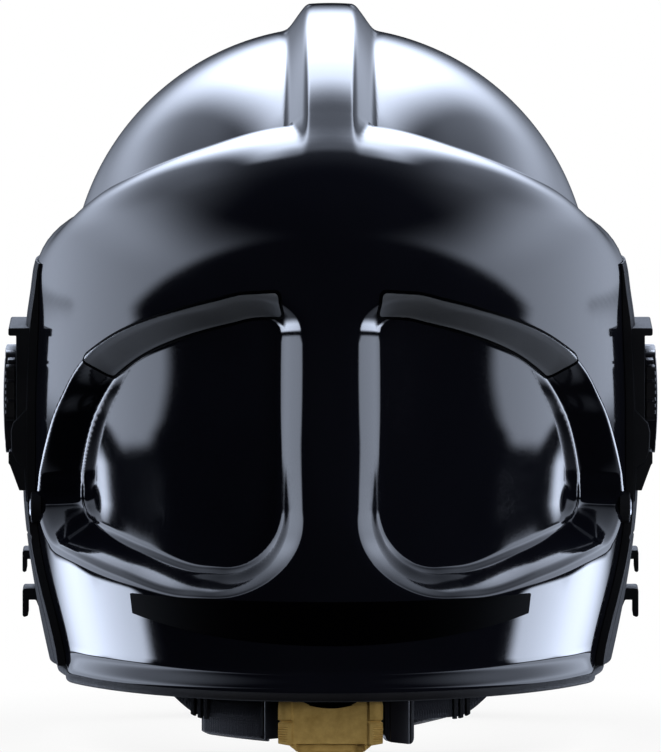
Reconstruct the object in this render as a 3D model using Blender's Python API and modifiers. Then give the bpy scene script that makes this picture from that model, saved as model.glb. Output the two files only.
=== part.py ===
"""Jet-style firefighter helmet with a crest, a yoke band, side rails and a face shield.

Frame: the wearer faces -Y, +X is the wearer's left, +Z is up.
Origin: centre of the dome, which is the centre of the head cavity at the headband.
Shapes are worked out in millimetres and scaled to metres when a mesh is made.
"""
from bisect import bisect_right
from math import asin, cos, degrees, hypot, pi, radians, sin, sqrt

import bmesh
import bpy
from mathutils import Matrix, Vector

MM = 0.001
GAP = 0.4                 # clearance between pieces that touch on the real helmet

# ---- outer shell -------------------------------------------------------------------------
DOME_HALF_WIDTH = 104.0
DOME_HALF_LENGTH = 137.0
DOME_HEIGHT = 104.0
POLE = DOME_HEIGHT * pi / 2   # level of the top of the dome, measured along its side
WALL = 3.5
INSET = 2.5               # sideways shrink of the inner skin's relief
YOKE_HEIGHT = 13.0        # how far the yoke stands off the dome at the back
YOKE_SIDE_EXTRA = 1.1     # extra height of the yoke over the ears
YOKE_RISE = 30.0          # level over which the yoke rises at the back
YOKE_SIDE_STEEPER = 5.0   # how much shorter that rise is over the ears
CREST_HEIGHT = 9.5
CREST_FLAT = 7.4          # half-width of the crest's top
CREST_WALL = 11.0
WINDOW_INNER = 19.0       # window floor's edge beside the central ridge
WINDOW_WALL = 10.5
FLANGE_HEIGHT = 6.0
FLANGE_START = -141.0
RIM = -150.0
LABEL_TOP = -113.3

# Level against azimuth in degrees from the back. Each curve is symmetric left to right.
BAND_TOP = ((0, 80), (16, 77), (37, 66), (59, 50), (83, 30.5), (120, 28), (150, 42), (180, 56))
WINDOW_TOP = ((0, -2), (16, -3.4), (22, -6), (30, -10), (43, -19), (58, -35), (80, -60))
WINDOW_BOTTOM = ((0, -100), (20, -101), (29, -101), (46, -95), (60, -90), (80, -86))
WINDOW_OUTER = ((-150, 77), (-86, 77), (-75, 73), (-59, 68), (-47, 64), (-35, 59), (0, 50))
RIM_LINE = ((0, RIM), (104, RIM), (118, -125), (128, -70), (136, -30), (146, -15), (180, -13))

# ---- face shield -------------------------------------------------------------------------
SHIELD_PIVOT = Vector((0.0, 10.0, -45.0))
SHIELD_RADIUS = 143.0
SHIELD_HALF_WIDTH = 111.0
SHIELD_THICKNESS = 2.5
SHIELD_TOP = 20.0         # degrees above the level of the pivot, lens lowered
SHIELD_BOTTOM = -32.0

# ---- lining ------------------------------------------------------------------------------
HEAD_SETBACK = 4.0
LINER_BOTTOM = 14.0
BAND_BOTTOM = -13.0
BAND_HEIGHT = 24.0

# ---- side fittings -----------------------------------------------------------------------
RAIL_FACE = 131.0         # outer face of the rail cover, from the middle plane
RAIL_LIP = 128.5
RAIL_TOP = -14.5
RAIL_FOOT = -69.0
RAIL_SKIRT = -79.5        # the rail's body slopes in towards the shell below its foot
COVER_TOP = -25.0
COVER_FOOT = -66.0
RAIL_BACK = 26.0
RAIL_FRONT = -34.0
HOOK_Y = -26.0
HOOK_HALF_LENGTH = 11.0
HOOK_TOP = -107.0
HOOK_FACE = 123.6

# ---- nape adjuster -----------------------------------------------------------------------
NAPE_HALF_WIDTH = 84.0
NAPE_HALF_LENGTH = 110.0
NAPE_HEIGHT = -157.0
LEVER_AXIS = Vector((0.0, 114.5, -157.0))
LEVER_HALF_WIDTH = 20.8
LEVER_TOP = -160.0
LEVER_FOOT = -178.0

# ---- chin strap --------------------------------------------------------------------------
CHIN_ANCHOR = Vector((104.0, -22.0, -124.0))
CHIN_DROP = 43.0
CHIN_REACH = 50.0
CHIN_STRAP_WIDTH = 18.0
CHIN_STRAP_THICKNESS = 1.6

BOTH_SIDES = (("left", 1), ("right", -1))


# ---- small maths -------------------------------------------------------------------------
def clamp(value, low=0.0, high=1.0):
    return max(low, min(high, value))


def smooth(value):
    """Ease from 0 to 1."""
    value = clamp(value)
    return value * value * (3 - 2 * value)


def ramp(value, fillet=0.25):
    """A straight slope from 0 to 1 with a round fillet at each end."""
    value = clamp(value)
    slope = 1 / (1 - fillet)
    if value < fillet:
        return slope * value * value / (2 * fillet)
    if value > 1 - fillet:
        return 1 - slope * (1 - value) ** 2 / (2 * fillet)
    return slope * (value - fillet / 2)


def follow(curve, position):
    """Value of a curve through its points, with a slope that never overshoots."""
    places = [point[0] for point in curve]
    values = [point[1] for point in curve]
    if position <= places[0]:
        return values[0]
    if position >= places[-1]:
        return values[-1]
    steps = [(values[i + 1] - values[i]) / (places[i + 1] - places[i]) for i in range(len(curve) - 1)]
    slopes = [0.0] * len(curve)
    for i in range(1, len(curve) - 1):
        if steps[i - 1] * steps[i] > 0:
            slopes[i] = 2 * steps[i - 1] * steps[i] / (steps[i - 1] + steps[i])
    i = bisect_right(places, position) - 1
    width = places[i + 1] - places[i]
    t = (position - places[i]) / width
    start = (1 + 2 * t) * (1 - t) ** 2 * values[i] + t * (1 - t) ** 2 * width * slopes[i]
    end = t * t * (3 - 2 * t) * values[i + 1] + t * t * (t - 1) * width * slopes[i + 1]
    return start + end


def spaced(start, end, count):
    """Evenly spaced values with both ends."""
    return [start + (end - start) * i / (count - 1) for i in range(count)]


# ---- the shell's surface -----------------------------------------------------------------
def base_point(azimuth, level):
    """Plain dome with nearly upright sides. Level is height below 0 and dome arc above it."""
    if level >= 0:
        height = DOME_HEIGHT * sin(level / DOME_HEIGHT)
        width = cos(level / DOME_HEIGHT)
    else:
        height = level
        swell = 1.5 * smooth(-level / 50)
        tuck = 10.8 * max(0.0, (-level - 80) / 70) ** 1.5
        width = 1 + (swell - tuck) / DOME_HALF_WIDTH
    return Vector((
        DOME_HALF_WIDTH * width * sin(azimuth),
        DOME_HALF_LENGTH * width * cos(azimuth),
        height,
    ))


def base_normal(azimuth, level):
    """Which way reliefs and plates stand off the dome: level with the ground on its sides."""
    level = min(level, POLE - 0.5)
    along = base_point(azimuth + 0.001, level) - base_point(azimuth - 0.001, level)
    up = base_point(azimuth, level + 0.1) - base_point(azimuth, level - 0.1)
    normal = along.cross(up)
    if level < 0:
        normal.z = 0
    normal.normalize()
    outward = base_point(azimuth, level)
    return normal if normal.dot(outward) > 0 else -normal


def window_distance(azimuth, level):
    """Distance outside the floor of the recessed window, negative on the floor."""
    turn = abs(azimuth)
    around = DOME_HALF_WIDTH * turn + 33.0 * (turn / 2 - sin(2 * turn) / 4)
    edge = radians(follow(WINDOW_OUTER, level))
    outer = DOME_HALF_WIDTH * edge + 33.0 * (edge / 2 - sin(2 * edge) / 4)
    corner = 9 + 13 * smooth((-level - 20) / 50)
    sideways = max(WINDOW_INNER + corner - around, around - outer + corner, 0.0)
    above = level - follow(WINDOW_TOP, degrees(turn)) + corner
    below = follow(WINDOW_BOTTOM, degrees(turn)) + corner - level
    return hypot(sideways, max(above, below, 0.0)) - corner


def relief(azimuth, level, inset=0.0):
    """How far the shell's skin stands off the plain dome."""
    turn = abs(degrees(azimuth))
    sideness = sin(azimuth) ** 2
    reach = (follow(BAND_TOP, turn) - inset - level) / (YOKE_RISE - YOKE_SIDE_STEEPER * sideness)
    height = YOKE_HEIGHT + YOKE_SIDE_EXTRA * sideness
    yoke = height * (1 - (1 - clamp(reach)) ** 2)
    yoke *= ramp((window_distance(azimuth, level) - inset) / WINDOW_WALL)
    across = abs(base_point(azimuth, level).x) + inset
    crest = CREST_HEIGHT * (1 - ramp((across - CREST_FLAT) / CREST_WALL))
    crest *= smooth((level - 35) / 40)
    blended = (yoke ** 4 + crest ** 4) ** 0.25
    flare = FLANGE_HEIGHT * smooth((FLANGE_START - level) / (FLANGE_START - RIM))
    return blended + flare * (1 - smooth((turn - 62) / 14))


def shell_point(azimuth, level, lift=0.0):
    """A point on the shell's outer skin, or lifted off it."""
    return base_point(azimuth, level) + base_normal(azimuth, level) * (relief(azimuth, level) + lift)


def shell_inner_point(azimuth, level):
    return base_point(azimuth, level) + base_normal(azimuth, level) * (relief(azimuth, level, INSET) - WALL)


def side_width(y, z):
    """Distance of the shell's outer skin from the middle plane, at a place on its side."""
    turn = pi / 2 - asin(clamp(y / DOME_HALF_LENGTH, -1.0, 1.0))
    level = z
    for _ in range(8):
        point = shell_point(turn, level)
        turn -= (y - point.y) / DOME_HALF_LENGTH
        level += z - point.z
    return shell_point(turn, level).x


# ---- mesh helpers ------------------------------------------------------------------------
def colour_material(name, colour, roughness, metallic=0.0):
    material = bpy.data.materials.new(name)
    material.use_nodes = True
    shader = material.node_tree.nodes["Principled BSDF"]
    shader.inputs["Base Color"].default_value = (*colour, 1.0)
    shader.inputs["Roughness"].default_value = roughness
    shader.inputs["Metallic"].default_value = metallic
    return material


def add_object(name, mesh, material, collection):
    thing = bpy.data.objects.new(name, mesh)
    thing.data.materials.append(material)
    collection.objects.link(thing)
    return thing


def finish_mesh(bm, name, smooth_angle=40):
    bmesh.ops.recalc_face_normals(bm, faces=bm.faces)
    mesh = bpy.data.meshes.new(name)
    bm.to_mesh(mesh)
    bm.free()
    mesh.shade_smooth()
    mesh.set_sharp_from_angle(angle=radians(smooth_angle))
    return mesh


def grid_block(name, columns, rows, low, high, material, collection, flip=1):
    """A closed block between two skins, low(u, v) and high(u, v), in millimetres."""
    bm = bmesh.new()
    bmesh.ops.create_grid(bm, x_segments=len(columns) - 1, y_segments=len(rows) - 1, size=1.0)
    column_layer = bm.verts.layers.float.new("column")
    row_layer = bm.verts.layers.float.new("row")
    for vertex in bm.verts:
        i = round((vertex.co.x + 1) / 2 * (len(columns) - 1))
        j = round((vertex.co.y + 1) / 2 * (len(rows) - 1))
        vertex[column_layer] = columns[i]
        vertex[row_layer] = rows[j]
        vertex.co = low(columns[i], rows[j]) * MM
    bmesh.ops.remove_doubles(bm, verts=bm.verts, dist=0.000005)
    made = bmesh.ops.extrude_face_region(bm, geom=bm.faces[:])
    for item in made["geom"]:
        if isinstance(item, bmesh.types.BMVert):
            item.co = high(item[column_layer], item[row_layer]) * MM
    for vertex in bm.verts:
        vertex.co.x *= flip
    bmesh.ops.triangulate(bm, faces=bm.faces)
    bm.verts.layers.float.remove(bm.verts.layers.float["column"])
    bm.verts.layers.float.remove(bm.verts.layers.float["row"])
    return add_object(name, finish_mesh(bm, name), material, collection)


def round_bar(name, start, end, radius, material, collection, sides=14, end_radius=None):
    """A cylinder, or a cone, between two points in millimetres."""
    axis = end - start
    bm = bmesh.new()
    bmesh.ops.create_cone(
        bm,
        cap_ends=True,
        segments=sides,
        radius1=radius * MM,
        radius2=(radius if end_radius is None else end_radius) * MM,
        depth=axis.length * MM,
    )
    thing = add_object(name, finish_mesh(bm, name, 35), material, collection)
    thing.location = (start + end) / 2 * MM
    thing.rotation_euler = axis.to_track_quat("Z", "Y").to_euler()
    return thing


def soft_box(name, centre, size, bevel, material, collection, turn=None):
    """A box with bevelled edges, sizes in millimetres."""
    bm = bmesh.new()
    bmesh.ops.create_cube(bm, size=1.0)
    bmesh.ops.scale(bm, vec=Vector(size) * MM, verts=bm.verts)
    thing = add_object(name, finish_mesh(bm, name), material, collection)
    thing.location = Vector(centre) * MM
    if turn is not None:
        thing.rotation_euler = turn.to_euler()
    edge = thing.modifiers.new("edges", "BEVEL")
    edge.width = bevel * MM
    edge.segments = 1
    return thing


def cut(thing, cutter):
    cutter.hide_render = True
    cutter.display_type = "WIRE"
    modifier = thing.modifiers.new("cut", "BOOLEAN")
    modifier.operation = "DIFFERENCE"
    modifier.solver = "EXACT"
    modifier.object = cutter


# ---- shell and what is fixed to it -------------------------------------------------------
def shell_level(azimuth, fraction):
    """Spread the rows between the rim, which rises round the face, and the pole."""
    rim = follow(RIM_LINE, abs(degrees(azimuth)))
    return rim + (POLE - rim) * fraction


def shell_fractions():
    levels = [RIM, -146, -141, -132, -121, -112, -107, -102, -97, -90, -78, -64, -50, -38, -28, -20]
    levels += [-12, -5, 1, 7, 13, 21, 31, 40, 50, 59, 68, 76, 84, 94, 106, 118, 130, 141, 150, 157, POLE]
    return [(level - RIM) / (POLE - RIM) for level in levels]


def shell_columns():
    """Azimuths all the way round, closest together at the central ridge and the cheek edges."""
    half = [0, 3.5, 5.5, 7.5, 9.5, 11.5, 14, 18, 24, 31, 39, 47, 55, 62, 68, 74, 80, 88, 97, 106]
    half += [113, 120, 126, 132, 138, 145, 154, 162, 168, 172, 176, 180]
    return [radians(-angle) for angle in reversed(half[1:])] + [radians(angle) for angle in half]


def make_shell(look, group):
    return grid_block(
        "outer_shell", shell_columns(), shell_fractions(),
        lambda azimuth, fraction: shell_inner_point(azimuth, shell_level(azimuth, fraction)),
        lambda azimuth, fraction: shell_point(azimuth, shell_level(azimuth, fraction)),
        look["shell"], group,
    )


def make_rim_trim(look, group):
    """Edge seal under the whole rim."""
    def rim_point(azimuth, drop, skin):
        level = follow(RIM_LINE, abs(degrees(azimuth)))
        point = skin(azimuth, level)
        return point - Vector((0, 0, drop))
    grid_block(
        "rim_trim", shell_columns(), [GAP + 0.1, 3.4],
        lambda azimuth, drop: rim_point(azimuth, drop, shell_inner_point),
        lambda azimuth, drop: rim_point(azimuth, drop, shell_point),
        look["rubber"], group,
    )


def label_foot(azimuth):
    """Level of the label's lower edge, which rises towards its ends."""
    return -131 + 8.7 * (degrees(azimuth) / 40) ** 2


def make_surface_plates(look, group):
    """Thin plates that lie on the shell: strips, blank label plate and blank front plate."""
    strip_columns = [radians(angle) for angle in (15, 18, 21, 24, 27.5, 31, 35, 39, 43, 47, 51, 54.5)]
    for side, sign in BOTH_SIDES:
        grid_block(
            f"reflective_strip_{side}", strip_columns, [1.6, 5.5, 9.6],
            lambda turn, up: shell_point(turn, follow(WINDOW_TOP, degrees(turn)) + up, 3.5),
            lambda turn, up: shell_point(turn, follow(WINDOW_TOP, degrees(turn)) + up, 4.3),
            look["strip"], group, flip=sign,
        )
    grid_block(
        "rear_label_plate", [radians(angle) for angle in spaced(-41, 41, 21)], spaced(0, 1, 4),
        lambda turn, up: shell_point(turn, label_foot(turn) + (LABEL_TOP - label_foot(turn)) * up, 0.4),
        lambda turn, up: shell_point(turn, label_foot(turn) + (LABEL_TOP - label_foot(turn)) * up, 1.2),
        look["label"], group,
    )
    grid_block(
        "front_plate", [radians(angle) for angle in spaced(166, 194, 9)], spaced(0, 34, 6),
        lambda turn, level: shell_point(turn, level, 0.7),
        lambda turn, level: shell_point(turn, level, 3.2),
        look["front_plate"], group,
    )


def make_lamp(look, group, cutters):
    """Lamp module on the front end of the crest, with its lens and push button."""
    face_y, face_foot, face_top = -133.0, 59.0, 80.0
    tail = Vector((0, -84, 96.5))

    def seat(x, step):
        level = 54 + 46 * step
        return shell_point(pi - asin(x / (DOME_HALF_WIDTH * cos(level / DOME_HEIGHT))), level, 1.6)

    def top(x, step):
        inset = 1.5 * (abs(x) > 12)
        if step < 0.3:
            return Vector((x, face_y, face_foot + (face_top - face_foot) * step / 0.3))
        shoulder = Vector((x, face_y + 5, face_top + 4))
        back = (step - 0.4) / 0.6
        if step < 0.4:
            return Vector((x, face_y, face_top - inset))
        return shoulder.lerp(Vector((x, tail.y, tail.z)), back) - Vector((0, 0, inset))

    body = grid_block(
        "crest_lamp_housing", [-13, -11.5, -6, 0, 6, 11.5, 13], [0, 0.1, 0.2, 0.3, 0.4, 0.55, 0.7, 0.85, 1],
        seat, top, look["matte"], group,
    )
    round_bar("lamp_lens", Vector((0, face_y - GAP, 70)), Vector((0, face_y - 3, 70)), 8.5,
              look["lens"], group, 20, end_radius=7)
    slope = (tail - Vector((0, face_y + 5, face_top + 4))).normalized()
    out = Vector((0, -slope.z, slope.y))
    centre = Vector((0, face_y + 5, face_top + 4)).lerp(tail, 0.42)
    pocket = round_bar("button_pocket", centre - out * 3, centre + out * 4, 5.4, look["matte"], cutters, 16)
    cut(body, pocket)
    round_bar("lamp_button", centre - out * 1.4, centre + out * 1.6, 4.9, look["rubber"], group, 16)


def side_plate_edges(level):
    """Azimuths of the side plate's back and front edges. It is narrower beside the mask hook."""
    back = 79.5 - 6 * smooth((-95 - level) / 45)
    front = 106 - 11.5 * smooth((-91 - level) / 13)
    return radians(back), radians(front)


def side_plate_point(across, level, lift):
    back, front = side_plate_edges(level)
    return shell_point(back + (front - back) * across, level, lift)


def make_side_fittings(look, group):
    """Side plate, accessory rail with its cover and latch button, mask hook and screws."""
    plate_levels = [-147, -137, -127, -116, -106, -100, -95, -88, -76, -62, -45, -28, -14, -5, 3, 9]
    rail_levels = [
        RAIL_SKIRT, RAIL_FOOT, RAIL_FOOT + 5, RAIL_FOOT + 5.1, -45, RAIL_TOP - 3.1, RAIL_TOP - 3, RAIL_TOP,
    ]
    hook_levels = [HOOK_TOP - drop for drop in (27, 15.2, 15.1, 9.1, 9, 0)]

    def rail_face(z):
        if z < RAIL_FOOT - 0.05:
            return RAIL_LIP - 4.2
        return RAIL_LIP if z > RAIL_TOP - 3.05 or z < RAIL_FOOT + 5.05 else RAIL_LIP - 3.1

    def hook_face(y, z):
        in_slot = HOOK_TOP - 15.15 < z < HOOK_TOP - 9.05
        return side_width(y, z) + 1.7 if in_slot else HOOK_FACE

    def cover_face(z):
        return RAIL_FACE - 1.6 * (z in (COVER_FOOT, COVER_TOP))

    for side, sign in BOTH_SIDES:
        grid_block(
            f"side_plate_{side}", spaced(0, 1, 8), plate_levels,
            lambda across, level: side_plate_point(across, level, 1.9),
            lambda across, level: side_plate_point(across, level, 2.5 + 1.0 * smooth((9 - level) / 14)),
            look["matte"], group, flip=sign,
        )
        grid_block(
            f"side_rail_{side}", spaced(RAIL_FRONT, RAIL_BACK, 6), rail_levels,
            lambda y, z: Vector((side_width(y, z) + 4.4, y, z)),
            lambda y, z: Vector((rail_face(z), y, z)),
            look["matte"], group, flip=sign,
        )
        grid_block(
            f"rail_cover_{side}",
            [RAIL_FRONT + 4, RAIL_FRONT + 6, RAIL_BACK - 19.5, RAIL_BACK - 18],
            [COVER_FOOT, COVER_FOOT + 2, COVER_TOP - 2, COVER_TOP],
            lambda y, z: Vector((RAIL_LIP + (0.4 if z < RAIL_FOOT + 5.1 else -2.7), y, z)),
            lambda y, z: Vector((cover_face(z), y, z)),
            look["satin"], group, flip=sign,
        )
        soft_box(f"rail_latch_{side}", (sign * 128.0, RAIL_BACK - 10, -41), (4.0, 12, 22), 0.8,
                 look["rubber"], group)
        grid_block(
            f"mask_hook_{side}", spaced(HOOK_Y - HOOK_HALF_LENGTH, HOOK_Y + HOOK_HALF_LENGTH, 4), hook_levels,
            lambda y, z: Vector((side_width(y, z) + 0.5, y, z)),
            lambda y, z: Vector((hook_face(y, z), y, z)),
            look["matte"], group, flip=sign,
        )
        for number, (y, z) in enumerate(((-24, -86), (28, -86))):
            seat = side_width(y, z) + 4.6
            round_bar(f"side_screw_{side}_{number + 1}", Vector((sign * seat, y, z)),
                      Vector((sign * (seat + 1.8), y, z)), 4.0, look["steel"], group, 12, end_radius=3.2)


# ---- face shield -------------------------------------------------------------------------
def shield_point(side_angle, rise, lift=0.0):
    """A point on the shield. It is part of a surface that is turned about the pivot axis."""
    radius = (SHIELD_RADIUS + lift) * cos(side_angle)
    return SHIELD_PIVOT + Vector((
        (SHIELD_HALF_WIDTH + lift) * sin(side_angle),
        -radius * cos(rise),
        radius * sin(rise),
    ))


def make_shield(look, group):
    columns = [radians(angle) for angle in (-85, -76, -66, -54, -42, -30, -18, -6, 6, 18, 30, 42, 54, 66, 76, 85)]
    rows = [radians(angle) for angle in spaced(SHIELD_BOTTOM, SHIELD_TOP, 7)]
    grid_block(
        "face_shield", columns, rows,
        lambda side, rise: shield_point(side, rise, -SHIELD_THICKNESS),
        lambda side, rise: shield_point(side, rise),
        look["shield"], group,
    )
    grid_block(
        "shield_lift_tab", spaced(-14, 14, 5), [radians(SHIELD_BOTTOM + angle) for angle in (0.6, 2.6, 4.6)],
        lambda x, rise: shield_point(asin(x / SHIELD_HALF_WIDTH), rise, GAP),
        lambda x, rise: shield_point(asin(x / SHIELD_HALF_WIDTH), rise, 3.6),
        look["matte"], group,
    )
    for side, sign in BOTH_SIDES:
        centre = Vector((0, SHIELD_PIVOT.y, SHIELD_PIVOT.z))
        round_bar(f"shield_pivot_{side}", centre + Vector((sign * 102, 0, 0)),
                  centre + Vector((sign * 113.5, 0, 0)), 9.0, look["steel"], group, 18)


# ---- lining ------------------------------------------------------------------------------
def oval(azimuth, half_width, half_length, height, setback=HEAD_SETBACK):
    return Vector((half_width * sin(azimuth), half_length * cos(azimuth) + setback, height))


def dome_skin(azimuth, rise, half_width, half_length, height, setback):
    return Vector((
        half_width * cos(rise) * sin(azimuth),
        half_length * cos(rise) * cos(azimuth) + setback,
        height * sin(rise),
    ))


def make_lining(look, group):
    ring = [radians(angle) for angle in spaced(-180, 180, 37)]
    grid_block(
        "energy_liner", ring, [asin(LINER_BOTTOM / 89), 0.35, 0.6, 0.85, 1.1, 1.35, pi / 2],
        lambda turn, rise: dome_skin(turn, max(rise, asin(LINER_BOTTOM / 68)), 82, 101, 68, HEAD_SETBACK),
        lambda turn, rise: dome_skin(turn, rise, 95, 114, 89, 10),
        look["foam"], group,
    )
    grid_block(
        "crown_pad", ring[::2], [0.5, 0.75, 1.0, 1.3, pi / 2],
        lambda turn, rise: dome_skin(turn, rise, 77.5, 96, 63.5, HEAD_SETBACK),
        lambda turn, rise: dome_skin(turn, rise, 80.5, 99, 66.8, HEAD_SETBACK),
        look["fabric"], group,
    )
    top = BAND_BOTTOM + BAND_HEIGHT
    grid_block(
        "headband", ring, [BAND_BOTTOM, top],
        lambda turn, height: oval(turn, 80.6, 99.6, height),
        lambda turn, height: oval(turn, 82.8, 101.8, height),
        look["matte"], group,
    )
    grid_block(
        "brow_pad", [radians(angle) for angle in spaced(118, 242, 17)], [BAND_BOTTOM + 1, top - 1],
        lambda turn, height: oval(turn, 77.2, 96.2, height),
        lambda turn, height: oval(turn, 80.2, 99.2, height),
        look["fabric"], group,
    )
    for number, middle in enumerate((45, 135, 225, 315)):
        grid_block(
            f"band_hanger_{number + 1}", [radians(middle + angle) for angle in (-6, 0, 6)],
            [BAND_BOTTOM + 4, LINER_BOTTOM - GAP],
            lambda turn, height: oval(turn, 83.3, 102.3, height),
            lambda turn, height: oval(turn, 85.8, 104.8, height),
            look["matte"], group,
        )


# ---- nape adjuster -----------------------------------------------------------------------
def nape_point(turn, height, lift):
    """A point on the nape harness, which spreads out to its anchors inside the shell."""
    angle = abs(degrees(turn))
    spread = 22 * smooth((angle - 35) / 31)
    climb = 45 * smooth((angle - 36) / 32)
    return Vector((
        (NAPE_HALF_WIDTH + spread + lift) * sin(turn),
        (NAPE_HALF_LENGTH + lift) * cos(turn),
        NAPE_HEIGHT + climb + height,
    ))


def make_nape_harness(look, group):
    for side, sign in BOTH_SIDES:
        grid_block(
            f"nape_strap_{side}", [radians(angle) for angle in spaced(17.5, 66, 14)], [-7, 7],
            lambda turn, height: nape_point(turn, height, -0.9),
            lambda turn, height: nape_point(turn, height, 0.9),
            look["webbing"], group, flip=sign,
        )
        end = nape_point(radians(62), 0, 3.5)
        inner = Vector((sign * end.x, end.y, end.z))
        round_bar(f"nape_anchor_{side}", inner, inner + Vector((sign * 5.4, 2.7, 0)), 5.5,
                  look["matte"], group, 12)
    for side, start, end, foot in (("left", 18, 39, -16), ("right", -41, -23, -10)):
        grid_block(
            f"nape_pad_{side}", [radians(angle) for angle in spaced(start, end, 6)], [foot, foot / 2, 6],
            lambda turn, height: nape_point(turn, height, -8.0),
            lambda turn, height: nape_point(turn, height, -1.6),
            look["fabric"], group,
        )
    soft_box("adjuster_housing", (0, 105.5, -158.5), (42, 9, 25), 1.5, look["matte"], group)
    make_lever(look, group)


def make_lever(look, group):
    """The lever hangs from its pin, and its foot swings out backwards to free the ratchet."""
    def face(x, z, lift):
        wing = 1.8 * smooth((abs(x) - 15) / 2)
        lip = 3.0 * smooth((LEVER_FOOT + 6 - z) / 4)
        return Vector((x, 112.4 + lift * (6.0 - wing + lip), z))

    def height(x, step):
        scallop = 3.4 * (1 - smooth(abs(x) / 13))
        foot = 5.2 * smooth((abs(x) - 11) / 6)
        top = LEVER_TOP - scallop
        bottom = LEVER_FOOT + foot
        return top + (bottom - top) * step
    columns = [-LEVER_HALF_WIDTH, -17, -15, -13, -8, -3, 3, 8, 13, 15, 17, LEVER_HALF_WIDTH]
    grid_block(
        "adjuster_lever", columns, spaced(0, 1, 7),
        lambda x, step: face(x, height(x, step), 0),
        lambda x, step: face(x, height(x, step), 1),
        look["gold"], group,
    )
    round_bar("lever_pin", LEVER_AXIS - Vector((19, 0, 0)), LEVER_AXIS + Vector((19, 0, 0)), 1.9,
              look["steel"], group, 12)


# ---- chin strap --------------------------------------------------------------------------
def chin_frame(along):
    """Place and directions on the strap: 0 is the left anchor, 1 the chin, 2 the right anchor."""
    def place(value):
        swing = clamp(value, 0, 2) * pi / 2
        return Vector((
            CHIN_ANCHOR.x * cos(swing),
            CHIN_ANCHOR.y - CHIN_REACH * sin(swing),
            CHIN_ANCHOR.z - CHIN_DROP * sin(swing),
        ))
    tangent = (place(along + 0.01) - place(along - 0.01)).normalized()
    outward = tangent.cross(Vector((0, 1, -0.4))).normalized()
    across = outward.cross(tangent).normalized()
    if outward.z > 0:
        outward = -outward
    return place(along), tangent, across, outward


def strap_point(along, across_step, lift):
    place, _, across, outward = chin_frame(along)
    return place + across * across_step + outward * lift


def make_chin_strap(look, group):
    half = CHIN_STRAP_WIDTH / 2
    thick = CHIN_STRAP_THICKNESS / 2
    for name, start, end, count in (("chin_strap_left", 0.07, 1.37, 16), ("chin_strap_right", 1.64, 1.93, 6)):
        grid_block(
            name, spaced(start, end, count), [-half, half],
            lambda along, step: strap_point(along, step, -thick),
            lambda along, step: strap_point(along, step, thick),
            look["webbing"], group,
        )
    grid_block(
        "chin_pad", spaced(0.72, 1.28, 9), [-14, 0, 14],
        lambda along, step: strap_point(along, step, -thick - 5.5),
        lambda along, step: strap_point(along, step, -thick - 0.5),
        look["fabric"], group,
    )
    for name, place, length in (("buckle_plug", 1.42, 11), ("buckle_socket", 1.56, 17)):
        centre, tangent, across, outward = chin_frame(place)
        turn = Matrix((tangent, across, tangent.cross(across))).transposed()
        soft_box(name, centre, (length, 23, 8), 1.5, look["matte"], group, turn.to_quaternion())
    centre, tangent, across, outward = chin_frame(1.56)
    turn = Matrix((tangent, across, tangent.cross(across))).transposed()
    soft_box("buckle_button", centre + outward * 6.6, (9, 12, 1.8), 0.4, look["red"], group,
             turn.to_quaternion())
    for side, sign in BOTH_SIDES:
        centre = Vector((sign * CHIN_ANCHOR.x, CHIN_ANCHOR.y, CHIN_ANCHOR.z))
        soft_box(f"chin_anchor_{side}", centre + Vector((sign * 0.4, 2, 7)), (7, 22, 10), 1.0,
                 look["matte"], group)


def make_looks():
    return {
        "shell": colour_material("shell_gloss", (0.006, 0.007, 0.009), 0.08),
        "strip": colour_material("strip_grey", (0.18, 0.19, 0.2), 0.35),
        "label": colour_material("label_black", (0.01, 0.01, 0.012), 0.3),
        "front_plate": colour_material("front_plate", (0.3, 0.31, 0.33), 0.3, 1.0),
        "matte": colour_material("matte_black", (0.02, 0.021, 0.026), 0.5),
        "satin": colour_material("satin_black", (0.025, 0.026, 0.032), 0.35),
        "rubber": colour_material("rubber_black", (0.015, 0.015, 0.017), 0.7),
        "steel": colour_material("steel", (0.35, 0.35, 0.36), 0.35, 1.0),
        "shield": colour_material("shield_clear", (0.75, 0.8, 0.82), 0.05),
        "lens": colour_material("lamp_lens", (0.8, 0.82, 0.85), 0.08),
        "foam": colour_material("foam_grey", (0.06, 0.06, 0.065), 0.9),
        "fabric": colour_material("fabric_black", (0.02, 0.02, 0.025), 0.9),
        "webbing": colour_material("webbing_black", (0.02, 0.022, 0.028), 0.85),
        "gold": colour_material("lever_tan", (0.42, 0.3, 0.11), 0.4, 0.35),
        "red": colour_material("button_red", (0.5, 0.03, 0.02), 0.4),
    }


def main():
    for old in list(bpy.data.objects):
        bpy.data.objects.remove(old)
    group = bpy.data.collections.new("firefighter_helmet")
    cutters = bpy.data.collections.new("cutters")
    bpy.context.scene.collection.children.link(group)
    bpy.context.scene.collection.children.link(cutters)
    look = make_looks()
    make_shell(look, group)
    make_rim_trim(look, group)
    make_surface_plates(look, group)
    make_lamp(look, group, cutters)
    make_side_fittings(look, group)
    make_shield(look, group)
    make_lining(look, group)
    make_nape_harness(look, group)
    make_chin_strap(look, group)


main()
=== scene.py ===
"""Looks of the firefighter helmet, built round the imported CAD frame.

The wearer faces -Y, +X is the wearer's left, +Z is up, and the camera stands behind, at +Y.
Shapes are worked out in millimetres, as in the CAD, and scaled to metres when a mesh is made.
"""

from math import asin, cos, pi, radians, sin

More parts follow.
